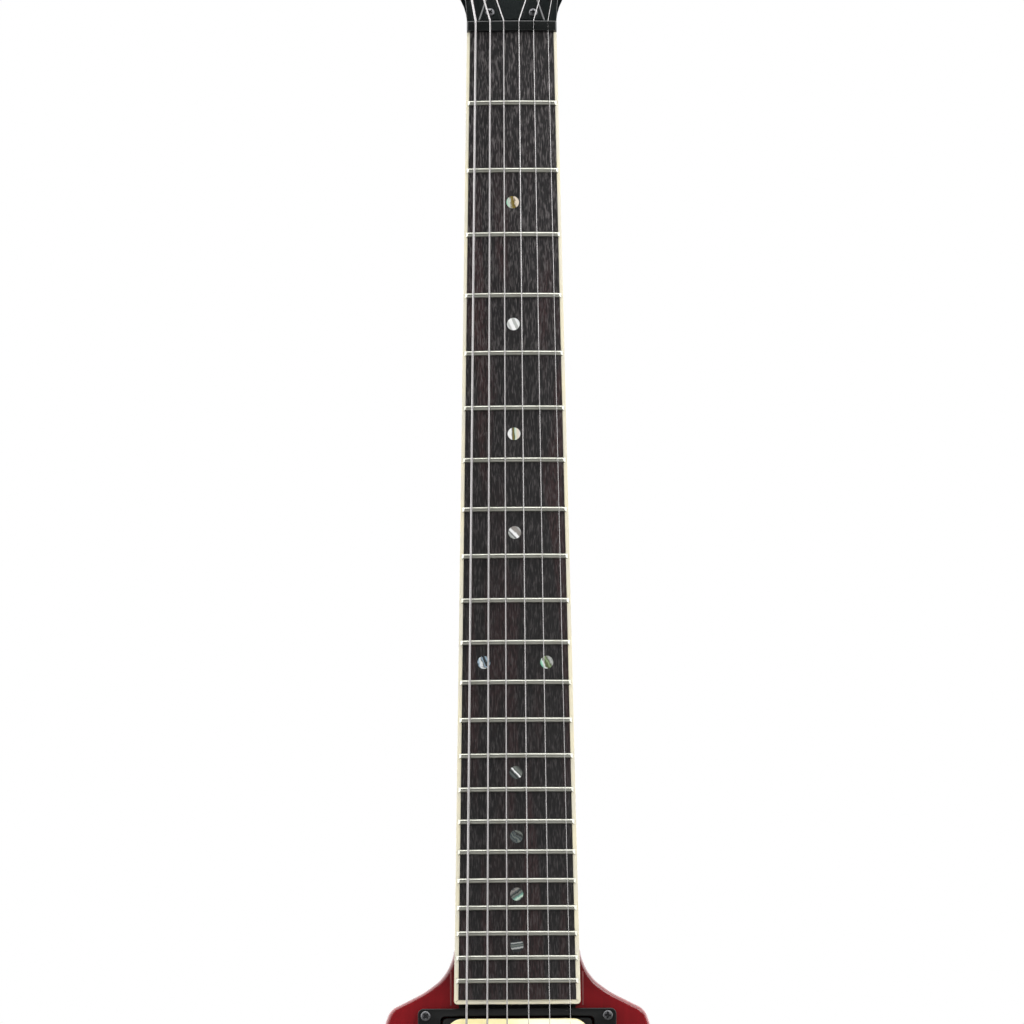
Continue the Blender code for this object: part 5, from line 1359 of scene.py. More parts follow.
@dataclass
class MachineHead:
    """One machine head: housing, bushing with its nut, post and key."""

    head: Array
    number: int
    x: float
    z: float
    side: int
    lean: float = 11.3
    wood: float = 0.0135
    face: float = 0.0015
    wheel_depth: float = 0.005
    worm_distance: float = 14 * 0.0016 / (2 * math.pi) + 0.0016
    inner: float = 0.0075
    outer: float = 0.0085
    short_side: float = 0.0065
    worm_side: float = 0.0035
    screw_inset: float = 0.0026
    depth: float = 0.0106
    post_radius: float = 0.003
    post_height: float = 0.0135
    shaft_radius: float = 0.0014
    key_reach: float = 0.027
    key_size: tuple[float, float, float] = (0.013, 0.0065, 0.0165)

    @property
    def place(self) -> Array:
        """The head's own place: X runs out along the key, and Y into the back."""
        turned = -self.side * self.lean + (0 if self.side > 0 else 180)
        return self.head @ move(self.x, self.wood, self.z) @ turn("Y", turned)

    @property
    def key_place(self) -> Array:
        """The place of the worm's axis."""
        return self.place @ move(0, self.wheel_depth, -self.side * self.worm_distance)

    def housing(self) -> list[Piece]:
        """The die-cast housing, domed over the worm, the collar for the shaft and the screw."""
        far = self.worm_distance + self.worm_side
        low, high = sorted((-self.side * far, self.side * self.short_side))
        sides = ((self.outer, low), (self.outer, high), (-self.inner, high), (-self.inner, low))
        back = self.place @ FACE_BACK
        rise = 0.0009
        level = self.depth - rise
        case = slab(rounded([(x, -z, 0.0028) for x, z in sides]), SEAM, level, 0.0001, 0.0020, 6).at(back)
        dome = [
            (0, -0.0085, 0),
            (0.0034, -0.0085, 0.0012),
            (0.0034, 0.0098, 0.0008),
            (0.0022, 0.0112, 0.0005),
            (0, 0.0112, 0),
        ]
        dome = spun(dome, 28).at(self.key_place @ turn("Y", 90))
        cap = [
            (0, level - rise, 0),
            (0.0045, level - rise, 0),
            (0.0045, level + 0.0002, 0.0002),
            (0.0038, self.depth, 0.0003),
            (0.0034, self.depth, 0.0001),
            (0, self.depth, 0),
        ]
        shape = together(case, dome, spun(cap, 28).at(back))
        replaced = (f"tuner_housing_{self.number}",)
        piece = Piece(f"machine_case_{self.number}", shape, NICKEL, replaces=replaced)
        inset_by = self.screw_inset
        tab = back @ move(inset_by - self.inner, self.side * (inset_by - self.short_side), level)
        screw = screw_piece(f"machine_screw_{self.number}", tab, 0.0015, 0.0008, 30 * self.number)
        return [piece, screw]

    def bushing(self) -> Piece:
        """The six-sided nut and its washer on the face, with the hole for the post."""
        front = self.place @ FACE_FRONT
        level = self.wood + self.face + SEAM
        seat, top = level + 0.0006, level + 0.0018
        section = [(0.0031, level, 0), (0.0066, level, 0.0001), (0.0066, seat, 0.0003), (0.0031, seat, 0)]
        washer = ring(section, 40)
        outline = circle(0.0058, 6, 10)
        rows = [(outline, seat), (outline, top - 0.0005), (outline * 0.93, top)]
        rows += [(outline * 0.54, top), (outline * 0.54, seat)]
        nut = stack(rows, Ends.LOOP)
        return Piece(f"bushing_nut_{self.number}", together(washer, nut).at(front), NICKEL, sharp=25)

    def post(self) -> Piece:
        """The post: a waist where the string winds, a domed top and a cross hole."""
        top = self.wood + self.face + self.post_height
        radius = self.post_radius
        waist = self.wood + self.face + 0.0058
        profile = [
            (0, -self.wheel_depth, 0),
            (radius, -self.wheel_depth, 0.0002),
            (radius, waist - 0.0024, 0.001),
            (radius * 0.86, waist, 0.004),
            (radius, waist + 0.0034, 0.001),
            (radius, top - 0.0009, 0.0008),
            (radius * 0.7, top, 0.0006),
            (radius * 0.3, top, 0.0002),
            (0, top - 0.0003, 0),
        ]
        place = self.place @ FACE_FRONT
        lie = place @ move(0, 0, waist + 0.0042) @ turn("Z", 35) @ turn("Y", 90)
        hole = cylinder(0.0008, -0.01, 0.01, 16).at(lie)
        name = f"tuner_post_{self.number}"
        return Piece(f"string_{name}", spun(profile, 36).at(place), NICKEL, name, (name,), cutters=[hole])

    def key(self) -> Piece:
        """The key: a stepped shaft, and a button pinched where it meets the shaft.

        The button is an egg whose half width grows away from the shaft: its rim leaves the axis
        as a power of a sine, and its thickness thins from the middle to the rim.
        """
        long, thick, wide = self.key_size
        near = self.key_reach - long / 2
        stem = [
            (0, 0.004, 0),
            (self.shaft_radius, 0.004, 0),
            (self.shaft_radius, near - 0.0045, 0.0003),
            (0.0026, near - 0.0040, 0.0004),
            (0.0026, near - 0.0028, 0.0004),
            (0.0018, near - 0.0022, 0.0006),
            (0.0024, near + 0.002, 0.001),
            (0, near + 0.002, 0),
        ]
        around = 2 * math.pi * np.arange(40) / 40
        down = np.linspace(0.02, math.pi - 0.02, 25)[:, None]
        share = (1 - np.cos(down)) / 2
        half = wide / 2 * np.sin(down) ** 0.72 * (0.72 + 0.28 * share**0.6)
        depth = thick / 2 * np.sin(down) ** 0.6 * (0.80 + 0.20 * (1 - share))
        x = np.broadcast_to(near + long * share, (25, 40))
        button = skin(np.stack([x, depth * np.sin(around), half * np.cos(around)], -1))
        shape = together(spun(stem, 24).at(turn("Y", 90)), button)
        name = f"tuner_key_{self.number}"
        return Piece(f"machine_{name}", shape.at(self.key_place), NICKEL, name, (name,), 40)

    def pieces(self) -> list[Piece]:
        """Every piece of the machine head."""
        return [*self.housing(), self.bushing(), self.post(), self.key()]


# Strings


@dataclass
class Strings:
    """The six strings, each from the ferrule block through the body to its post."""

    gauges: tuple[float, ...] = (0.00024, 0.00035, 0.00047, 0.00062, 0.00087, 0.00105)
    spread_at_nut: float = 0.0345
    spread_at_bridge: float = 0.0517
    shift_at_bridge: float = 0.0006
    uneven: tuple[float, ...] = (0.00015, 0.0001, 0.0, -0.0004, 0.0, 0.0)
    rise_at_nut: float = 0.0018
    rise_at_bridge: float = 0.0042
    saddle_offsets: tuple[float, ...] = (0.0012, 0.0005, -0.0003, 0.0004, -0.0004, -0.0011)
    plate_distance: float = 0.050
    plate_thickness: float = 0.0022
    body_thickness: float = 0.040
    ball_depth: float = 0.0045
    loops: int = 2
    loop_gap: float = 0.0005
    lift: float = 0.0045
    fit: float = 0.0003

    def across(self, spread: float) -> Array:
        """The x of each string, from the high E, where the outer strings are spread apart."""
        return spread * (0.5 - np.arange(6) / 5)

    def spaced(self, spread: float) -> Array:
        """The x of each string where it really lies, off its even place by a hair."""
        return self.across(spread) + self.uneven

    def at_nut(self, board: Fingerboard, index: int) -> Array:
        """Where a string leaves the back of the nut, in the neck's frame."""
        x = self.spaced(self.spread_at_nut)[index]
        rise = board.thickness + self.rise_at_nut + self.gauges[index] / 2
        return np.array([x, board.crown(x) - rise, board.length + board.nut_thickness])

    def at_saddle(self, board: Fingerboard, index: int) -> Array:
        """Where a string bends over its saddle, in the neck's frame."""
        x = self.spaced(self.spread_at_bridge)[index] + self.shift_at_bridge
        rise = board.thickness + self.rise_at_bridge + self.gauges[index] / 2
        z = board.length - board.scale_length + self.saddle_offsets[index]
        return np.array([x, board.crown(x) - rise, z])

    def winding(self, machine: MachineHead, start: Array, radius: float) -> Array:
        """The loops round the post, in the headstock's frame.

        They begin where a line from the nut touches the circle that the string's middle runs on,
        and climb by the string's thickness and a gap on each turn.
        """
        reach = machine.post_radius + self.fit + radius
        way = np.array([start[0] - machine.x, start[2] - machine.z])
        first = math.atan2(way[1], way[0]) - machine.side * math.acos(reach / np.hypot(*way))
        turns = np.linspace(0, self.loops, self.loops * 32 + 1)
        angles = first - machine.side * 2 * math.pi * turns
        lift = self.lift + turns * (2 * radius + self.loop_gap)
        x, z = machine.x + reach * np.cos(angles), machine.z + reach * np.sin(angles)
        return np.stack([x, -SEAM - machine.face - lift, z], -1)

    def path(self, places: "Places", board: Fingerboard, machine: MachineHead) -> Array:
        """The way of one string, its corners rounded, in the frame of the CAD model."""
        index = machine.number - 1
        radius = self.gauges[index] / 2
        x = self.across(self.spread_at_bridge)[index]
        saddle = placed(self.at_saddle(board, index), places.neck)
        nut = self.at_nut(board, index)
        hole = places.bridge_height - self.plate_distance
        seat = self.body_thickness - self.ball_depth
        corners = np.array([[x, seat, hole], [x, -self.plate_thickness - radius, hole]])
        corners = placed(corners, places.guitar)
        ahead = placed(nut - [0, 0, board.nut_thickness], places.neck)
        behind = placed(nut, places.neck)
        start = placed(behind, np.linalg.inv(places.head))
        loops = placed(self.winding(machine, start, radius), places.head)
        spot = bend(np.stack([*corners, saddle, ahead, behind, loops[0]]), 0.0006)
        return np.concatenate([spot[:-1], loops])

    def pieces(self, places: "Places", board: Fingerboard, machines: list["MachineHead"]) -> list[Piece]:
        """Each string, and its ball end in the back of the body."""
        pieces = []
        for machine in machines:
            number = machine.number
            radius = self.gauges[number - 1] / 2
            path = self.path(places, board, machine)
            finish = WIRE if number < 4 else WOUND
            wire = tube(path, radius)
            pieces.append(Piece(f"wire_{number}", wire, finish, replaces=(f"string_{number}",), sharp=60))
            ball = flat_ring(0.0009, 0.0021, -0.0015, 0.0015, 0.0004, 24)
            pieces.append(Piece(f"ball_end_{number}", ball.at(move(*path[0]) @ turn("Y", 90)), BRASS))
        return pieces


def bend(path: Array, reach: float) -> Array:
    """A path whose inner corners are rounded.

    Each corner becomes a short parabola: its points are (1 - t) squared of the start, 2t(1 - t)
    of the corner and t squared of the end, which lie reach before and after it.
    """
    points = [path[:1]]
    t = np.linspace(0, 1, 7)[:, None]
    for before, corner, after in zip(path, path[1:], path[2:]):
        back, on = before - corner, after - corner
        start = corner + back * min(0.45, reach / np.linalg.norm(back))
        end = corner + on * min(0.45, reach / np.linalg.norm(on))
        points.append((1 - t) ** 2 * start + 2 * t * (1 - t) * corner + t**2 * end)
    return np.concatenate([*points, path[-1:]])


STRINGS = Strings()


# Body


@dataclass
class Body:
    """The v-shaped body with its routs and holes. Its frame is the guitar's."""

    place: Array
    controls: Array
    bridge_height: float
    thickness: float = 0.040
    edge: float = 0.0022
    back_edge: float = 0.003
    flank: tuple = (
        (-0.0005, 0.0548), (0.0023, 0.0492), (0.0050, 0.0439), (0.0078, 0.0397),
        (0.0105, 0.03625), (0.0133, 0.03385), (0.0160, 0.0320), (0.0188, 0.0307),
        (0.0215, 0.0297), (0.0240, 0.02915), (0.0270, 0.0290),
    )
    joint_lines: tuple = (("bass", -0.0306), ("treble", 0.0302))
    joint_line: tuple[float, float, float] = (0.0007, -0.0003, 0.0152)
    shadow_strip: tuple[float, float, float] = (0.0536, -0.0030, 0.0010)
    shoulder: Corner = (0.05866, -0.00232, 0.008)
    tip: Corner = (0.214, -0.436, 0.022)
    inner: Corner = (0.103, -0.474, 0.018)
    notch: Corner = (0.0, -0.275, 0.013)
    rout: tuple[float, float, float, float] = (0.072, 0.040, 0.019, 0.003)
    post_spread: float = 0.074
    post_hole: float = 0.0041
    plate: tuple[float, float, float] = (0.0726, 0.0126, 0.0058)
    block_depth: float = 0.0081
    cavity: tuple[float, float, float] = (0.046, 0.2254, 0.012)
    cavity_margin: float = 0.022
    cavity_roof: float = 0.0072
    lip: float = 0.0063
    cover_depth: float = 0.0026
    pitch: float = 0.0478
    jack_pitch: float = 0.038

    def outline(self) -> Array:
        """The body's outline, from its top by the neck round both wings."""
        heights, widths = np.array(self.flank).T
        z = np.linspace(heights[-1] - 0.0037, heights[0], 27)
        sides = np.stack([smooth_line(heights, widths, z), z, 0 * z], 1)
        corners = [(widths[-1], heights[-1], 0.0035), *map(tuple, sides), self.shoulder, self.tip, self.inner]
        return rounded(both_sides(corners, self.notch), step=4)

    def cutters(self, centres: tuple[float, float]) -> list[Shape]:
        """The routs, the holes, and the cavity with its recess behind."""
        deep = 2 * self.thickness
        front = self.place @ FACE_FRONT
        wide, long, depth, radius = self.rout
        cuts = []
        for centre in centres:
            outline = rectangle(wide, long, radius, 0, centre)
            cuts.append(slab(outline, -depth, deep, 0.0001, 0.0001, 1).at(front))
        for side in (-1, 1):
            place = front @ move(side * self.post_spread / 2, self.bridge_height, 0)
            cuts.append(cylinder(self.post_hole, -0.0235, deep).at(place))
        wide, long, radius = self.plate
        outline = rectangle(wide, long, radius, 0, self.bridge_height - STRINGS.plate_distance)
        cuts.append(stack([(outline, -deep), (outline, self.block_depth - self.thickness)]).at(front))
        wide, long, radius = self.cavity
        middle = self.cavity_margin - long / 2
        front = self.controls @ FACE_FRONT
        outline = rectangle(wide, long, radius, 0, middle)
        cuts.append(stack([(outline, -deep), (outline, -self.cavity_roof)]).at(front))
        grown = rectangle(wide + 2 * self.lip, long + 2 * self.lip, radius + self.lip, 0, middle)
        cuts.append(stack([(grown, -deep), (grown, self.cover_depth - self.thickness)]).at(front))
        holes = [(0, 0.005), (1, 0.005), (2, 0.005), (3, 0.0061), (3 + self.jack_pitch / self.pitch, 0.006)]
        for way, radius in holes:
            cuts.append(cylinder(radius, -0.012, deep, 24).at(front @ move(0, -way * self.pitch, 0)))
        return cuts

    def seams(self) -> list[Piece]:
        """The faint joint lines by the neck, a painted highlight, and the painted shadow at the board's end.
        """
        pieces = []
        wide, low, high = self.joint_line
        for name, x in self.joint_lines:
            outline = rectangle(wide, high - low, 0.0001, x, (low + high) / 2)
            shape = slab(outline, -0.0003, 0.00008, 0.00001, 0.00006, 2)
            # a real joint line whose pale colour is a painted highlight
            pieces.append(Piece(f"joint_line_{name}", shape.at(self.place @ FACE_FRONT), SEAM_HIGHLIGHT))
        # painted shadow: a black strip on the body where the board's end shades it
        wide, low, high = self.shadow_strip
        outline = rectangle(wide, high - low, 0.0002, 0, (low + high) / 2)
        shape = slab(outline, -0.0003, 0.00008, 0.00001, 0.00006, 2)
        pieces.append(Piece("pocket_gap", shape.at(self.place @ FACE_FRONT), TAPE))
        return pieces

    def pieces(self, centres: tuple[float, float]) -> list[Piece]:
        """The body and its joint lines."""
        shape = slab(self.outline(), -self.thickness, 0, self.back_edge, self.edge, 8)
        shape = shape.at(self.place @ FACE_FRONT)
        body = Piece("body_slab", shape, RED, replaces=("body",), cutters=self.cutters(centres))
        return [body, *self.seams()]


@dataclass
class StrapButton:
    """A strap button with its screw and felt washer."""

    name: str
    place: Array
    radius: float = 0.0075
    waist: float = 0.0042
    foot: float = 0.0065
    height: float = 0.0125

    def pieces(self) -> list[Piece]:
        """The button, whose waist is an arc, its washer and its screw."""
        profile = [
            (0, 0.0010, 0),
            (self.foot, 0.0010, 0.0004),
            (self.foot, 0.0022, 0.0008),
            (self.waist, 0.0045, 0.003),
            (self.waist, 0.0080, 0.003),
            (self.radius, 0.0098, 0.0008),
            (self.radius, self.height - 0.0006, 0.001),
            (0.0036, self.height - 0.0002, 0.0004),
            (0.0030, self.height - 0.0012, 0.0003),
            (0, self.height - 0.0014, 0),
        ]
        button = Piece(f"{self.name}_knob", spun(profile, 44).at(self.place), NICKEL, replaces=(self.name,))
        felt = disc(0.0072, SEAM / 2, 0.0010, 0.0002, 0.0003, 40)
        washer = Piece(f"{self.name}_felt", felt.at(self.place), TAPE)
        place = self.place @ move(0, 0, self.height - 0.0014)
        return [button, washer, screw_piece(f"{self.name}_screw", place, 0.0026, 0.0010, 25)]


# Pickups


@dataclass
class Pickup:
    """A pickup with two open bobbins, in its ring. Its frame is the guitar's."""

    name: str
    place: Array
    ring_height: float
    flip: int
    ring: tuple[float, float, float] = (0.0913, 0.0464, 0.0026)
    ring_shift: tuple[float, float] = (-0.00014, 0.00022)
    screw_shift: float = -0.0003
    opening: tuple[float, float, float] = (0.0706, 0.0396, 0.0022)
    case: tuple[float, float, float] = (0.0686, 0.038, 0.002)
    bobbin: tuple[float, float, float] = (0.066, 0.0182, 0.0078)
    bobbin_height: float = 0.003
    stand: float = 0.0032
    depth: float = 0.017
    ring_screws: tuple[float, float] = (0.0418, 0.0201)
    height_screw: float = 0.0398
    pole_radius: float = 0.0023

    def surround(self) -> list[Piece]:
        """The ring: its outside leans in, its top edges are round, and it has six screws."""
        wide, long, radius = self.ring
        outer = rectangle(wide, long, radius, *self.ring_shift)
        inner = rectangle(*self.opening)
        high = self.ring_height
        soft = 0.0003
        lean = 0.0001
        rows = [(outer, SEAM), (inset(outer, lean), high - soft)]
        for angle in np.radians([30, 60, 90]):
            edge = inset(outer, lean + soft * (1 - math.cos(angle)))
            rows.append((edge, high - soft * (1 - math.sin(angle))))
        rows += [(inset(outer, lean + 1.4 * soft), high), (inset(inner, -0.0007), high)]
        rows += [(inset(inner, -0.0002), high - 0.0002), (inner, high - 0.0007), (inner, SEAM)]
        front = self.place @ FACE_FRONT
        shape = stack(rows, Ends.LOOP).at(front)
        replaced = (f"{self.name}_pickup_ring",)
        pieces = [Piece(f"{self.name}_surround", shape, BLACK, replaces=replaced, sharp=40)]
        x, z = self.ring_screws
        for number, (i, j) in enumerate(((-1, 1), (1, 1), (1, -1), (-1, -1)), 1):
            place = front @ move(i * x + self.screw_shift, j * z, high - 0.0001)
            name = f"{self.name}_ring_screw_{number}"
            pieces.append(screw_piece(name, place, 0.0023, 0.0011, 5 + 40 * number))
        for i, side in ((-1, "bass"), (1, "treble")):
            place = front @ move(i * self.height_screw, 0, high - 0.0001)
            name = f"{self.name}_height_screw_{side}"
            pieces.append(screw_piece(name, place, 0.0019, 0.0009, 50 + 30 * i, Drive.SLOT))
        return pieces

    def coils(self) -> list[Piece]:
        """The case, and two bobbins, each with a wide top over a taped coil, and their poles."""
        front = self.place @ FACE_FRONT
        body = f"{self.name}_pickup"
        top = self.ring_height + self.stand
        low = top - self.bobbin_height
        wide, long, radius = self.case
        outline = rectangle(wide, long, radius)
        base = slab(outline, low - self.depth, low - 0.0012, 0.0004, 0.0004, 2).at(front)
        pieces = [Piece(f"{self.name}_case", base, TAPE, body, (body,))]
        wide, long, radius = self.bobbin
        for side, row in ((1, "upper"), (-1, "lower")):
            middle = side * (long / 2 + 0.0006)
            outline = rectangle(wide, long, radius, 0, middle)
            wound = inset(outline, 0.0014)
            coil = stack([(wound, low - 0.0040), (wound, top - 0.0013)]).at(front)
            pieces.append(Piece(f"{self.name}_coil_{row}", coil, TAPE, body))
            cap = slab(outline, top - 0.0016, top, 0.0003, 0.0005, 4).at(front)
            pieces.append(Piece(f"{self.name}_bobbin_{row}", cap, CREAM, body))
            for number, x in enumerate(STRINGS.across(0.0495), 1):
                place = front @ move(x, middle, top - 0.00005)
                if side == self.flip:
                    name, spin = f"{self.name}_pole_{number}", 47 * number
                    piece = screw_piece(name, place, self.pole_radius, 0.0008, spin, Drive.SLOT, NICKEL, body)
                else:
                    slug = disc(self.pole_radius, -0.001, 0.00035, 0, 0.00025, 28)
                    piece = Piece(f"{self.name}_slug_{number}", slug.at(place), NICKEL, body)
                pieces.append(piece)
        return pieces

    def pieces(self) -> list[Piece]:
        """Every piece of the pickup and its ring."""
        return [*self.surround(), *self.coils()]


# Bridge


@dataclass
class Bridge:
    """The bridge bar with its saddles and posts, the string plate and the ferrule block."""

    place: Array
    places: "Places"
    board: Fingerboard
    width: float = 0.086
    length: float = 0.013
    thickness: float = 0.007
    trough: tuple[float, float] = (0.0092, 0.0046)
    saddle_width: float = 0.0096
    saddle_length: float = 0.0044
    saddle_rise: float = 0.0034
    travel: float = 0.0022
    post_spread: float = 0.074
    wheel_radius: float = 0.007
    wheel_thickness: float = 0.002
    fit: float = 0.0003
    plate: tuple[float, float, float] = (0.072, 0.012, 0.0055)

    def at_saddle(self, index: int) -> Array:
        """A string's middle over its saddle, in the guitar's frame."""
        point = placed(STRINGS.at_saddle(self.board, index), self.places.neck)
        return placed(point, np.linalg.inv(self.places.guitar))

    @property
    def front(self) -> float:
        """The Y of the bar's front face."""
        lowest = max(self.at_saddle(i)[1] + STRINGS.gauges[i] / 2 for i in (0, 5))
        return lowest + self.saddle_rise

    def bar(self) -> list[Piece]:
        """The bar, its trough cut out, and the screws that hold the saddles."""
        place = self.place @ move(0, self.front, self.places.bridge_height)
        front = place @ FACE_FRONT
        outline = rectangle(self.width, self.length, 0.006)
        shape = slab(outline, -self.thickness, 0, 0.0006, 0.0014, 5).at(front)
        long, deep = self.trough
        half = STRINGS.spread_at_bridge * 0.6
        cuts = [slab(rectangle(2 * half, long, 0.0004), -deep, 0.01, 0.0001, 0.0001, 1).at(front)]
        for side in (-1, 1):
            cuts.append(cylinder(0.0031, -0.02, 0.02).at(front @ move(side * self.post_spread / 2, 0, 0)))
        pieces = [Piece("bridge_bar", shape, NICKEL, "bridge", ("bridge",), cutters=cuts)]
        for number, x in enumerate(STRINGS.across(STRINGS.spread_at_bridge), 1):
            thread = cylinder(0.0009, -(self.length + long) / 4, (self.length + long) / 4, 14)
            shaft = thread.at(front @ move(x, 0, -deep / 2) @ turn("X", 90))
            pieces.append(Piece(f"saddle_screw_{number}", shaft, SCREW, "bridge", sharp=60))
            head = front @ move(x, -self.length / 2 + 0.0002, -deep / 2 - 0.0002) @ turn("X", 90)
            name, spin = f"saddle_screw_head_{number}", 65 * number
            pieces.append(screw_piece(name, head, 0.0017, 0.0009, spin, Drive.SLOT, body="bridge"))
        return pieces

    def saddles(self) -> list[Piece]:
        """Six saddles: a wedge whose ridge has a groove for its string."""
        pieces = []
        deep = self.trough[1]
        for index in range(6):
            at = self.at_saddle(index)
            radius = STRINGS.gauges[index] / 2
            ridge = at[1] + radius + SEAM
            floor = self.front + deep - self.fit
            half, edge = self.saddle_length / 2, 0.0004
            front, top = self.front - floor, ridge - floor
            wedge = [(0, -half, 0.0002), (0, half, 0.0002), (front, half, 0.0003), (top, edge, 0.0003)]
            wedge += [(top, -edge, 0.0003), (front, -half, 0.0003)]
            wide = self.saddle_width / 2
            shape = slab(rounded(wedge, step=20), -wide, wide, 0.0003, 0.0003, 2)
            swap = np.array([[0, 0, 1, 0], [1, 0, 0, 0], [0, 1, 0, 0], [0, 0, 0, 1]], float)
            middle = STRINGS.across(STRINGS.spread_at_bridge)[index]
            place = self.place @ move(middle, floor, at[2])
            groove = cylinder(radius + 0.00025, -0.01, 0.01, 20)
            groove = groove.at(self.place @ move(at[0], at[1] + 0.0002, at[2]))
            drop = -STRINGS.plate_thickness - radius - at[1]
            fall = math.degrees(math.atan2(drop, STRINGS.plate_distance))
            room = self.travel + STRINGS.saddle_offsets[index]
            behind = self.place @ move(at[0], at[1], at[2] + room) @ turn("X", fall)
            slope = cylinder(radius + 0.0002, -0.01, 0.004, 20).at(behind)
            bore = cylinder(0.0012, -0.01, 0.01, 16).at(place @ move(0, self.fit - deep / 2, 0))
            name = f"saddle_{index + 1}"
            cuts = [groove, slope, bore]
            pieces.append(Piece(f"brass_{name}", shape.at(place @ swap), BRASS, name, (name,), cutters=cuts))
        return pieces

    def posts(self) -> list[Piece]:
        """The two posts, each with its knurled wheel under the bar."""
        pieces = []
        shelf = -self.front - self.thickness - self.fit
        top = -self.front + 0.0005
        for side, name in ((-1, "bridge_post_bass"), (1, "bridge_post_treble")):
            place = self.place @ move(side * self.post_spread / 2, 0, self.places.bridge_height) @ FACE_FRONT
            stem = [
                (0, -0.020, 0),
                (0.0038, -0.020, 0.0004),
                (0.0038, shelf - 0.002, 0),
                (0.0028, shelf, 0),
                (0.0028, top, 0.0004),
                (0, top, 0),
            ]
            stem = spun(stem, 36)
            low = shelf - self.wheel_thickness
            wheel = disc(self.wheel_radius, low, shelf, 0.0003, 0.0003, 144, flutes=36, depth=0.00035)
            slot = block((-0.004, 0.004), (-0.0004, 0.0004), (top - 0.0008, top + 0.01))
            slot = slot.at(place @ turn("Z", 30))
            shape = together(stem, wheel).at(place)
            pieces.append(Piece(f"{name}_stud", shape, NICKEL, name, (name,), 28, [slot]))
        return pieces

    def anchors(self) -> list[Piece]:
        """The string plate in front and the ferrule block behind, each with six holes."""
        height = self.places.bridge_height - STRINGS.plate_distance
        wide, long, radius = self.plate
        outline = rectangle(wide, long, radius, 0, height)
        front = self.place @ FACE_FRONT
        xs = STRINGS.across(STRINGS.spread_at_bridge)
        holes = [cylinder(0.0011, -0.1, 0.1, 18).at(front @ move(x, height, 0)) for x in xs]
        plate = slab(outline, SEAM, STRINGS.plate_thickness + SEAM, 0.0001, 0.0009, 4).at(front)
        thickness = STRINGS.body_thickness
        ball = cylinder(0.0024, -0.1, STRINGS.ball_depth - thickness, 24)
        balls = [ball.at(front @ move(x, height, 0)) for x in xs]
        block_shape = slab(outline, -thickness, -thickness + 0.008, 0.0005, 0.0001, 3).at(front)
        return [
            Piece("string_plate_front", plate, NICKEL, replaces=("string_plate",), cutters=holes),
            Piece("ferrule_bar", block_shape, NICKEL, replaces=("ferrule_block",), cutters=holes + balls),
        ]

    def pieces(self) -> list[Piece]:
        """Every piece of the bridge and the string anchors."""
        return [*self.bar(), *self.saddles(), *self.posts(), *self.anchors()]


# Controls


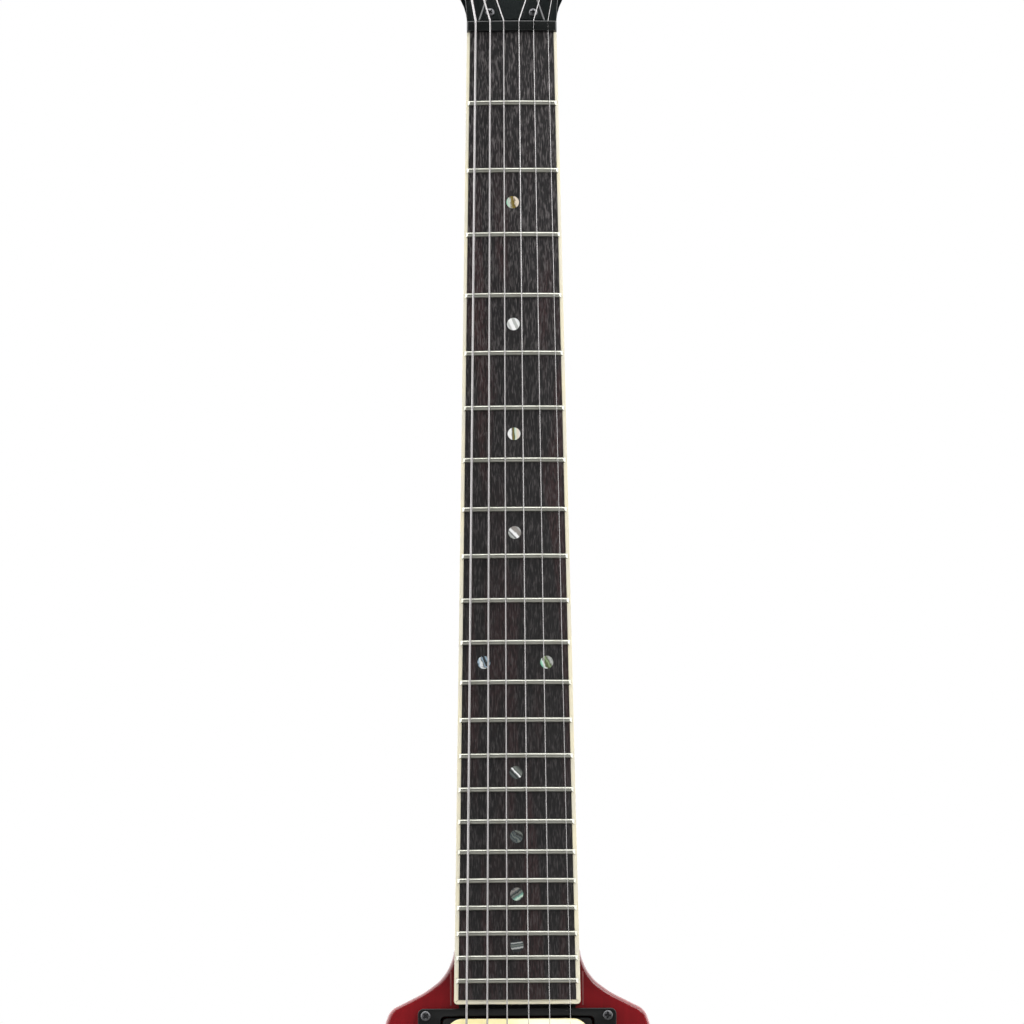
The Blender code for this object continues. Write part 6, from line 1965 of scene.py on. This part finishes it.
@dataclass
class Controls:
    """Three knobs, the pickup switch, the output jack and the cover behind them."""

    place: Array
    pitch: float = 0.0478
    jack_pitch: float = 0.038
    radius: float = 0.0127
    height: float = 0.0165
    cavity: tuple[float, float, float] = (0.058, 0.2374, 0.018)
    cavity_margin: float = 0.022
    body_thickness: float = 0.040
    cover_thickness: float = 0.0025
    lever_depth: float = 0.004
    lever_height: float = 0.024

    def at(self, distance: float) -> Array:
        """A place down the line of controls, its Z axis pointing forward."""
        return self.place @ move(0, 0, -distance) @ FACE_FRONT

    def knob(self, name: str, distance: float) -> list[Piece]:
        """A fluted knob with a skirt and a dished top, and its pointer line."""
        r, h = self.radius, self.height
        place = self.at(distance)
        skirt = [
            (0.0062, 0.0006, 0),
            (r, 0.0006, 0.0003),
            (r, 0.0022, 0.0006),
            (0.90 * r, 0.0036, 0.001),
            (0.88 * r, 0.0042, 0.0004),
            (0.0062, 0.0042, 0),
        ]
        grip = [
            (0, 0.0038, 0),
            (0.87 * r, 0.0038, 0.0002),
            (0.79 * r, h - 0.0008, 0.0006),
            (0.70 * r, h, 0.0003),
            (0.66 * r, h - 0.0005, 0.0003),
            (0, h - 0.0007, 0),
        ]
        shaft = disc(0.003, -0.008, 0.0045, 0.0003, 0, 24)
        shape = together(ring(skirt, 72), spun(grip, 160, flutes=32, depth=0.0005), shaft).at(place)
        pieces = [Piece(f"{name}_cap", shape, BLACK, name, (name,), 30)]
        line = slab(rectangle(0.0008, 0.0052, 0.0003, 0, 0.55 * r), h - 0.0009, h - 0.0004, 0.0001, 0.0001, 1)
        tick = slab(rectangle(0.0008, 0.0022, 0.0003, 0, 0.945 * r), 0.0022, 0.0036, 0.0001, 0.0001, 1)
        pieces.append(Piece(f"{name}_pointer", together(line, tick).at(place), MARK, name))
        return pieces

    def switch(self) -> list[Piece]:
        """The switch's round nut on its washer, and the lever with its tip."""
        place = self.at(3 * self.pitch)
        washer = flat_ring(0.0036, 0.009, SEAM, 0.0009, 0.0002, 48)
        nut = flat_ring(0.0036, 0.0066, 0.0009, 0.0032, 0.0004, 72)
        pieces = [Piece("switch_nut", together(washer, nut).at(place), NICKEL, sharp=28)]
        pivot = self.place @ move(0, self.lever_depth, -3 * self.pitch) @ FACE_FRONT
        top = self.lever_height
        stem = [
            (0, -0.010, 0),
            (0.0012, -0.010, 0.0003),
            (0.0012, -0.0024, 0.0004),
            (0.0029, -0.0014, 0.0014),
            (0.0029, 0.0014, 0.0014),
            (0.0012, 0.0024, 0.0004),
            (0.0012, top - 0.011, 0),
            (0, top - 0.011, 0),
        ]
        tip = [
            (0, top - 0.012, 0),
            (0.0019, top - 0.012, 0.0004),
            (0.0030, top - 0.0085, 0.003),
            (0.0036, top - 0.0045, 0.004),
            (0.0030, top - 0.0006, 0.0018),
            (0, top, 0),
        ]
        lever = "switch_lever"
        pieces.append(Piece("lever_stem", spun(stem, 28).at(pivot), NICKEL, lever, (lever,)))
        pieces.append(Piece("lever_tip", spun(tip, 36).at(pivot), CREAM, "switch_lever"))
        return pieces

    def jack(self) -> Piece:
        """The jack: a washer, a six-sided nut and a barrel with the plug's bore."""
        place = self.at(3 * self.pitch + self.jack_pitch)
        flange = [
            (0.0034, SEAM, 0),
            (0.015, SEAM, 0.0002),
            (0.015, 0.0008, 0.0006),
            (0.0115, 0.0015, 0.001),
            (0.0034, 0.0015, 0),
        ]
        reach, sides = 0.0068, 48
        outline, bore = hexagon(reach, sides), circle(0.0040, sides)
        chamfer = np.minimum(1, reach / np.hypot(*outline.T))[:, None] * outline
        rows = [(outline, 0.0015), (outline, 0.0028), (chamfer, 0.0034), (bore, 0.0034), (bore, 0.0015)]
        barrel = flat_ring(0.0034, 0.0056, -0.024, 0.0036, 0.0003, 40)
        shape = together(ring(flange, 56, 20), stack(rows, Ends.LOOP), barrel).at(place)
        return Piece("jack_fitting", shape, NICKEL, replaces=("output_jack",), sharp=25)

    def cover(self) -> list[Piece]:
        """The plate over the cavity behind, and its six screws."""
        wide, long, radius = self.cavity
        middle = self.cavity_margin - 0.2254 / 2
        outline = rectangle(wide, long, radius, 0, middle)
        front = self.place @ FACE_FRONT
        thickness = self.body_thickness
        shape = slab(outline, -thickness, -thickness + self.cover_thickness, 0.0007, 0.0002, 4).at(front)
        pieces = [Piece("cavity_cover", shape, BLACK, replaces=("control_cover",))]
        back = self.place @ move(0, thickness - 0.0006, 0) @ FACE_BACK
        number = 0
        for side in (-1, 1):
            for share in (-0.455, 0, 0.455):
                number += 1
                reach = (wide / 2 - 0.0042) if share == 0 else wide / 2 - 0.0075
                spot = back @ move(side * reach, -(middle + share * long), 0)
                pieces.append(screw_piece(f"cavity_screw_{number}", spot, 0.0022, 0.0006, 33 * number))
        return pieces

    def pieces(self) -> list[Piece]:
        """Every piece of the controls."""
        names = ("volume_knob_neck", "volume_knob_bridge", "tone_knob")
        knobs = [piece for way, name in enumerate(names) for piece in self.knob(name, way * self.pitch)]
        return [*knobs, *self.switch(), self.jack(), *self.cover()]


def hexagon(reach: float, count: int) -> Array:
    """Points round a hexagon, reach from its middle to its flats, at even angles."""
    angles = 2 * math.pi * np.arange(count) / count
    off = (angles % (math.pi / 3)) - math.pi / 6
    return (reach / np.cos(off))[:, None] * np.stack([np.cos(angles), np.sin(angles)], 1)


# The whole guitar


@dataclass
class Places:
    """Where the guitar, its neck, its headstock and its controls stand.

    The origin of the guitar's own frame is the end of the fingerboard on the front of the body.
    It is read off the box of the neck pickup's ring, which lies a set distance below it.
    """

    ring_offset: float = 0.0021
    ring_length: float = 0.046
    neck_rise: float = 0.0022
    neck_angle: float = 3.0
    head_angle: float = 14.0
    pickup_rise: float = 0.0449
    controls_inset: float = 0.0538
    controls_drop: float = 0.235
    strap_heel_drop: float = 0.036
    strap_wing_share: float = 0.88
    flank: tuple = ((0.05755, -0.0007), (0.214, -0.436))

    def __post_init__(self) -> None:
        """Works the places out from the frame."""
        low, high = (np.array(corner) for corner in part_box("neck_pickup_ring"))
        self.guitar = move((low[0] + high[0]) / 2, high[1] + SEAM, high[2] + self.ring_offset)
        self.neck = self.guitar @ move(0, -self.neck_rise, 0) @ turn("X", -self.neck_angle)
        board = Fingerboard(self.neck)
        back = board.length + board.nut_thickness
        self.head = self.neck @ move(0, 0, back) @ turn("X", -self.head_angle)
        bridge = np.array([0, -board.thickness - STRINGS.rise_at_bridge, board.length - board.scale_length])
        on_guitar = move(0, -self.neck_rise, 0) @ turn("X", -self.neck_angle)
        self.bridge_height = placed(bridge, on_guitar)[2]
        shoulder, tip = self.flank
        slope = (tip[0] - shoulder[0]) / (shoulder[1] - tip[1])
        x = shoulder[0] + slope * (self.controls_drop + shoulder[1]) - self.controls_inset
        angle = -math.degrees(math.atan(slope))
        self.controls = self.guitar @ move(x, 0, -self.controls_drop) @ turn("Y", angle)

    def pickup_heights(self) -> tuple[float, float]:
        """The height of each pickup's middle, the neck's first."""
        return -self.ring_offset - self.ring_length / 2, self.bridge_height + self.pickup_rise

    def strap_places(self) -> dict[str, Array]:
        """The place of each strap button, its Z axis pointing out of the body."""
        shoulder, tip = np.array(self.flank)
        x, z = shoulder + (tip - shoulder) * self.strap_wing_share
        way = tip - shoulder
        out = math.degrees(math.atan2(way[1], way[0]))
        wing = self.guitar @ move(-x, Body.thickness / 2, z) @ turn("Y", out)
        heel = self.guitar @ move(0, Body.thickness, -self.strap_heel_drop) @ FACE_BACK
        return {"strap_button_heel": heel, "strap_button_wing": wing}


@dataclass
class Guitar:
    """The whole guitar."""

    frame: dict
    posts: tuple = ((0.0286, 0.048), (0.0355, 0.084), (0.0425, 0.120))

    def machines(self, places: Places) -> list[MachineHead]:
        """The six machine heads, numbered from the high E."""
        machines = []
        for index, (x, z) in enumerate(self.posts):
            machines.append(MachineHead(places.head, index + 1, x, z, 1))
            machines.append(MachineHead(places.head, 6 - index, -x, z, -1))
        return sorted(machines, key=lambda machine: machine.number)

    def build(self) -> Places:
        """Builds every piece, and dresses the CAD nodes that stay."""
        places = Places()
        board = Fingerboard(places.neck)
        machines = self.machines(places)
        heights = places.pickup_heights()
        pieces = board.pieces()
        pieces += Neck(places.neck, places.head, board).pieces()
        for machine in machines:
            pieces += machine.pieces()
        pieces += STRINGS.pieces(places, board, machines)
        pieces += Body(places.guitar, places.controls, places.bridge_height).pieces(heights)
        for name, height, ring, flipped in zip(("neck", "bridge"), heights, (0.005, 0.010), (1, -1)):
            pieces += Pickup(name, places.guitar @ move(0, 0, height), ring, flipped).pieces()
        pieces += Bridge(places.guitar, places, board).pieces()
        pieces += Controls(places.controls).pieces()
        for name, place in places.strap_places().items():
            pieces += StrapButton(name, place).pieces()
        for piece in pieces:
            piece.build()
        for name in ("truss_rod", "switch_frame", "potentiometer_1", "potentiometer_2", "potentiometer_3"):
            dress_node(self.frame, name, STEEL)
        dress_node(self.frame, "truss_rod_nut", BRASS)
        return places


# Studio


@dataclass
class Lamp:
    """A soft rectangular lamp that points at a spot."""

    name: str
    at: tuple[float, float, float]
    to: tuple[float, float, float]
    size: tuple[float, float]
    power: float
    only: tuple[str, ...] = ()

    def build(self) -> None:
        """Makes the lamp: its Z axis points from the spot back to it.

        A lamp with names in only lights just those pieces, as a narrow card beside them does.
        """
        data = bpy.data.lights.new(self.name, "AREA")
        data.shape = "RECTANGLE"
        data.size, data.size_y = self.size
        data.energy = self.power
        lamp = bpy.data.objects.new(self.name, data)
        bpy.context.scene.collection.objects.link(lamp)
        back = np.array(self.at, float) - np.array(self.to, float)
        back /= np.linalg.norm(back)
        side = np.cross([0, 0, 1], back)
        side /= np.linalg.norm(side)
        matrix = np.eye(4)
        matrix[:3, :3] = np.stack([side, np.cross(back, side), back], 1)
        matrix[:3, 3] = self.at
        lamp.matrix_world = Matrix(matrix.tolist())
        if self.only:
            lit = bpy.data.collections.new(self.name)
            for name in self.only:
                lit.objects.link(bpy.data.objects[name])
            lamp.light_linking.receiver_collection = lit


@dataclass
class Studio:
    """The floor, the lamps, the world and the camera."""

    places: Places
    camera_offset: tuple[float, float, float] = (-0.00117, -1.72375, 0.01680)
    camera_pitch: float = 7.0
    camera_roll: float = -0.3237
    lens: float = 130.51
    sensor: float = 36.0
    floor_radius: float = 3.0
    ambient: float = 0.29
    dark: float = 0.11
    glow: float = 2.2
    light: float = 4.2
    card: tuple[float, float] = (0.202, 0.43)

    def camera(self) -> None:
        """The camera, in front of the body's top and looking a little up."""
        data = bpy.data.cameras.new("camera")
        data.lens = self.lens
        data.sensor_width = self.sensor
        data.clip_end = 50
        camera = bpy.data.objects.new("camera", data)
        bpy.context.scene.collection.objects.link(camera)
        matrix = self.places.guitar @ move(*self.camera_offset)
        matrix = matrix @ turn("X", 90 + self.camera_pitch) @ turn("Z", self.camera_roll)
        camera.matrix_world = Matrix(matrix.tolist())
        bpy.context.scene.camera = camera

    def floor(self) -> None:
        """A round pale floor under the wing tips."""
        outline = circle(self.floor_radius, 96)
        shape = stack([(outline, -0.02), (outline, -0.0002)])
        floor = new_object("floor", shape.mesh("floor", 30))
        finish = Paper("floor paper", "red_lacquer", (0.92, 0.92, 0.92), 0.8, 2.4)
        floor.data.materials.append(finish.material())

    def world(self) -> None:
        """White to the camera, and to mirrors a bright band beside and above, dimmer elsewhere."""
        world = bpy.data.worlds.new("studio")
        world.use_nodes = True
        bpy.context.scene.world = world
        tree = world.node_tree
        graph = Graph(tree, tree.nodes["Background"])
        way = graph.node("ShaderNodeTexCoord", {}, {}, "Generated")
        y = graph.axis(way, 1)
        front = y.rise(-0.58, -0.42)
        bright = y.rise(0.6, 0.3) * (self.light - self.glow)
        soft = y.rise(0.97, 0.88) * (self.glow - self.dark)
        mirror = front * (bright + soft) + self.dark
        camera = graph.node("ShaderNodeLightPath", {}, {}, "Is Camera Ray")
        diffuse = graph.node("ShaderNodeLightPath", {}, {}, "Is Diffuse Ray")
        other = diffuse * self.ambient + (1 - diffuse) * mirror
        graph.feed(Color=(1.0, 1.0, 1.0), Strength=camera + (1 - camera) * other)

    def build(self) -> None:
        """Makes the studio."""
        self.camera()
        self.floor()
        self.world()
        view = bpy.context.scene.view_settings
        view.view_transform = "Standard"
        middle = (0.0, 0.0, 0.7)
        Lamp("key", (1.5, -2.2, 2.2), middle, (1.2, 1.2), 30).build()
        Lamp("fill", (-1.8, -2.0, 1.4), middle, (1.4, 1.4), 9).build()
        Lamp("top", (0.0, -0.6, 2.9), middle, (1.6, 0.9), 14).build()
        x, z = self.card
        Lamp("card", (x, -2.25, z), (x, 0.0, z), (0.4, 0.7), 8, ("neck_bobbin_upper",)).build()
        Lamp("rim left", (-1.7, 1.5, 1.2), middle, (0.8, 1.6), 8).build()
        Lamp("rim right", (1.7, 1.5, 1.2), middle, (0.8, 1.6), 8).build()


def main() -> None:
    """Clears the scene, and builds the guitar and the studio."""
    logging.basicConfig(level=logging.INFO, format="%(message)s")
    for item in list(bpy.data.objects):
        bpy.data.objects.remove(item)
    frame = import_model()
    places = Guitar(frame).build()
    Studio(places).build()


if __name__ == "__main__":
    main()
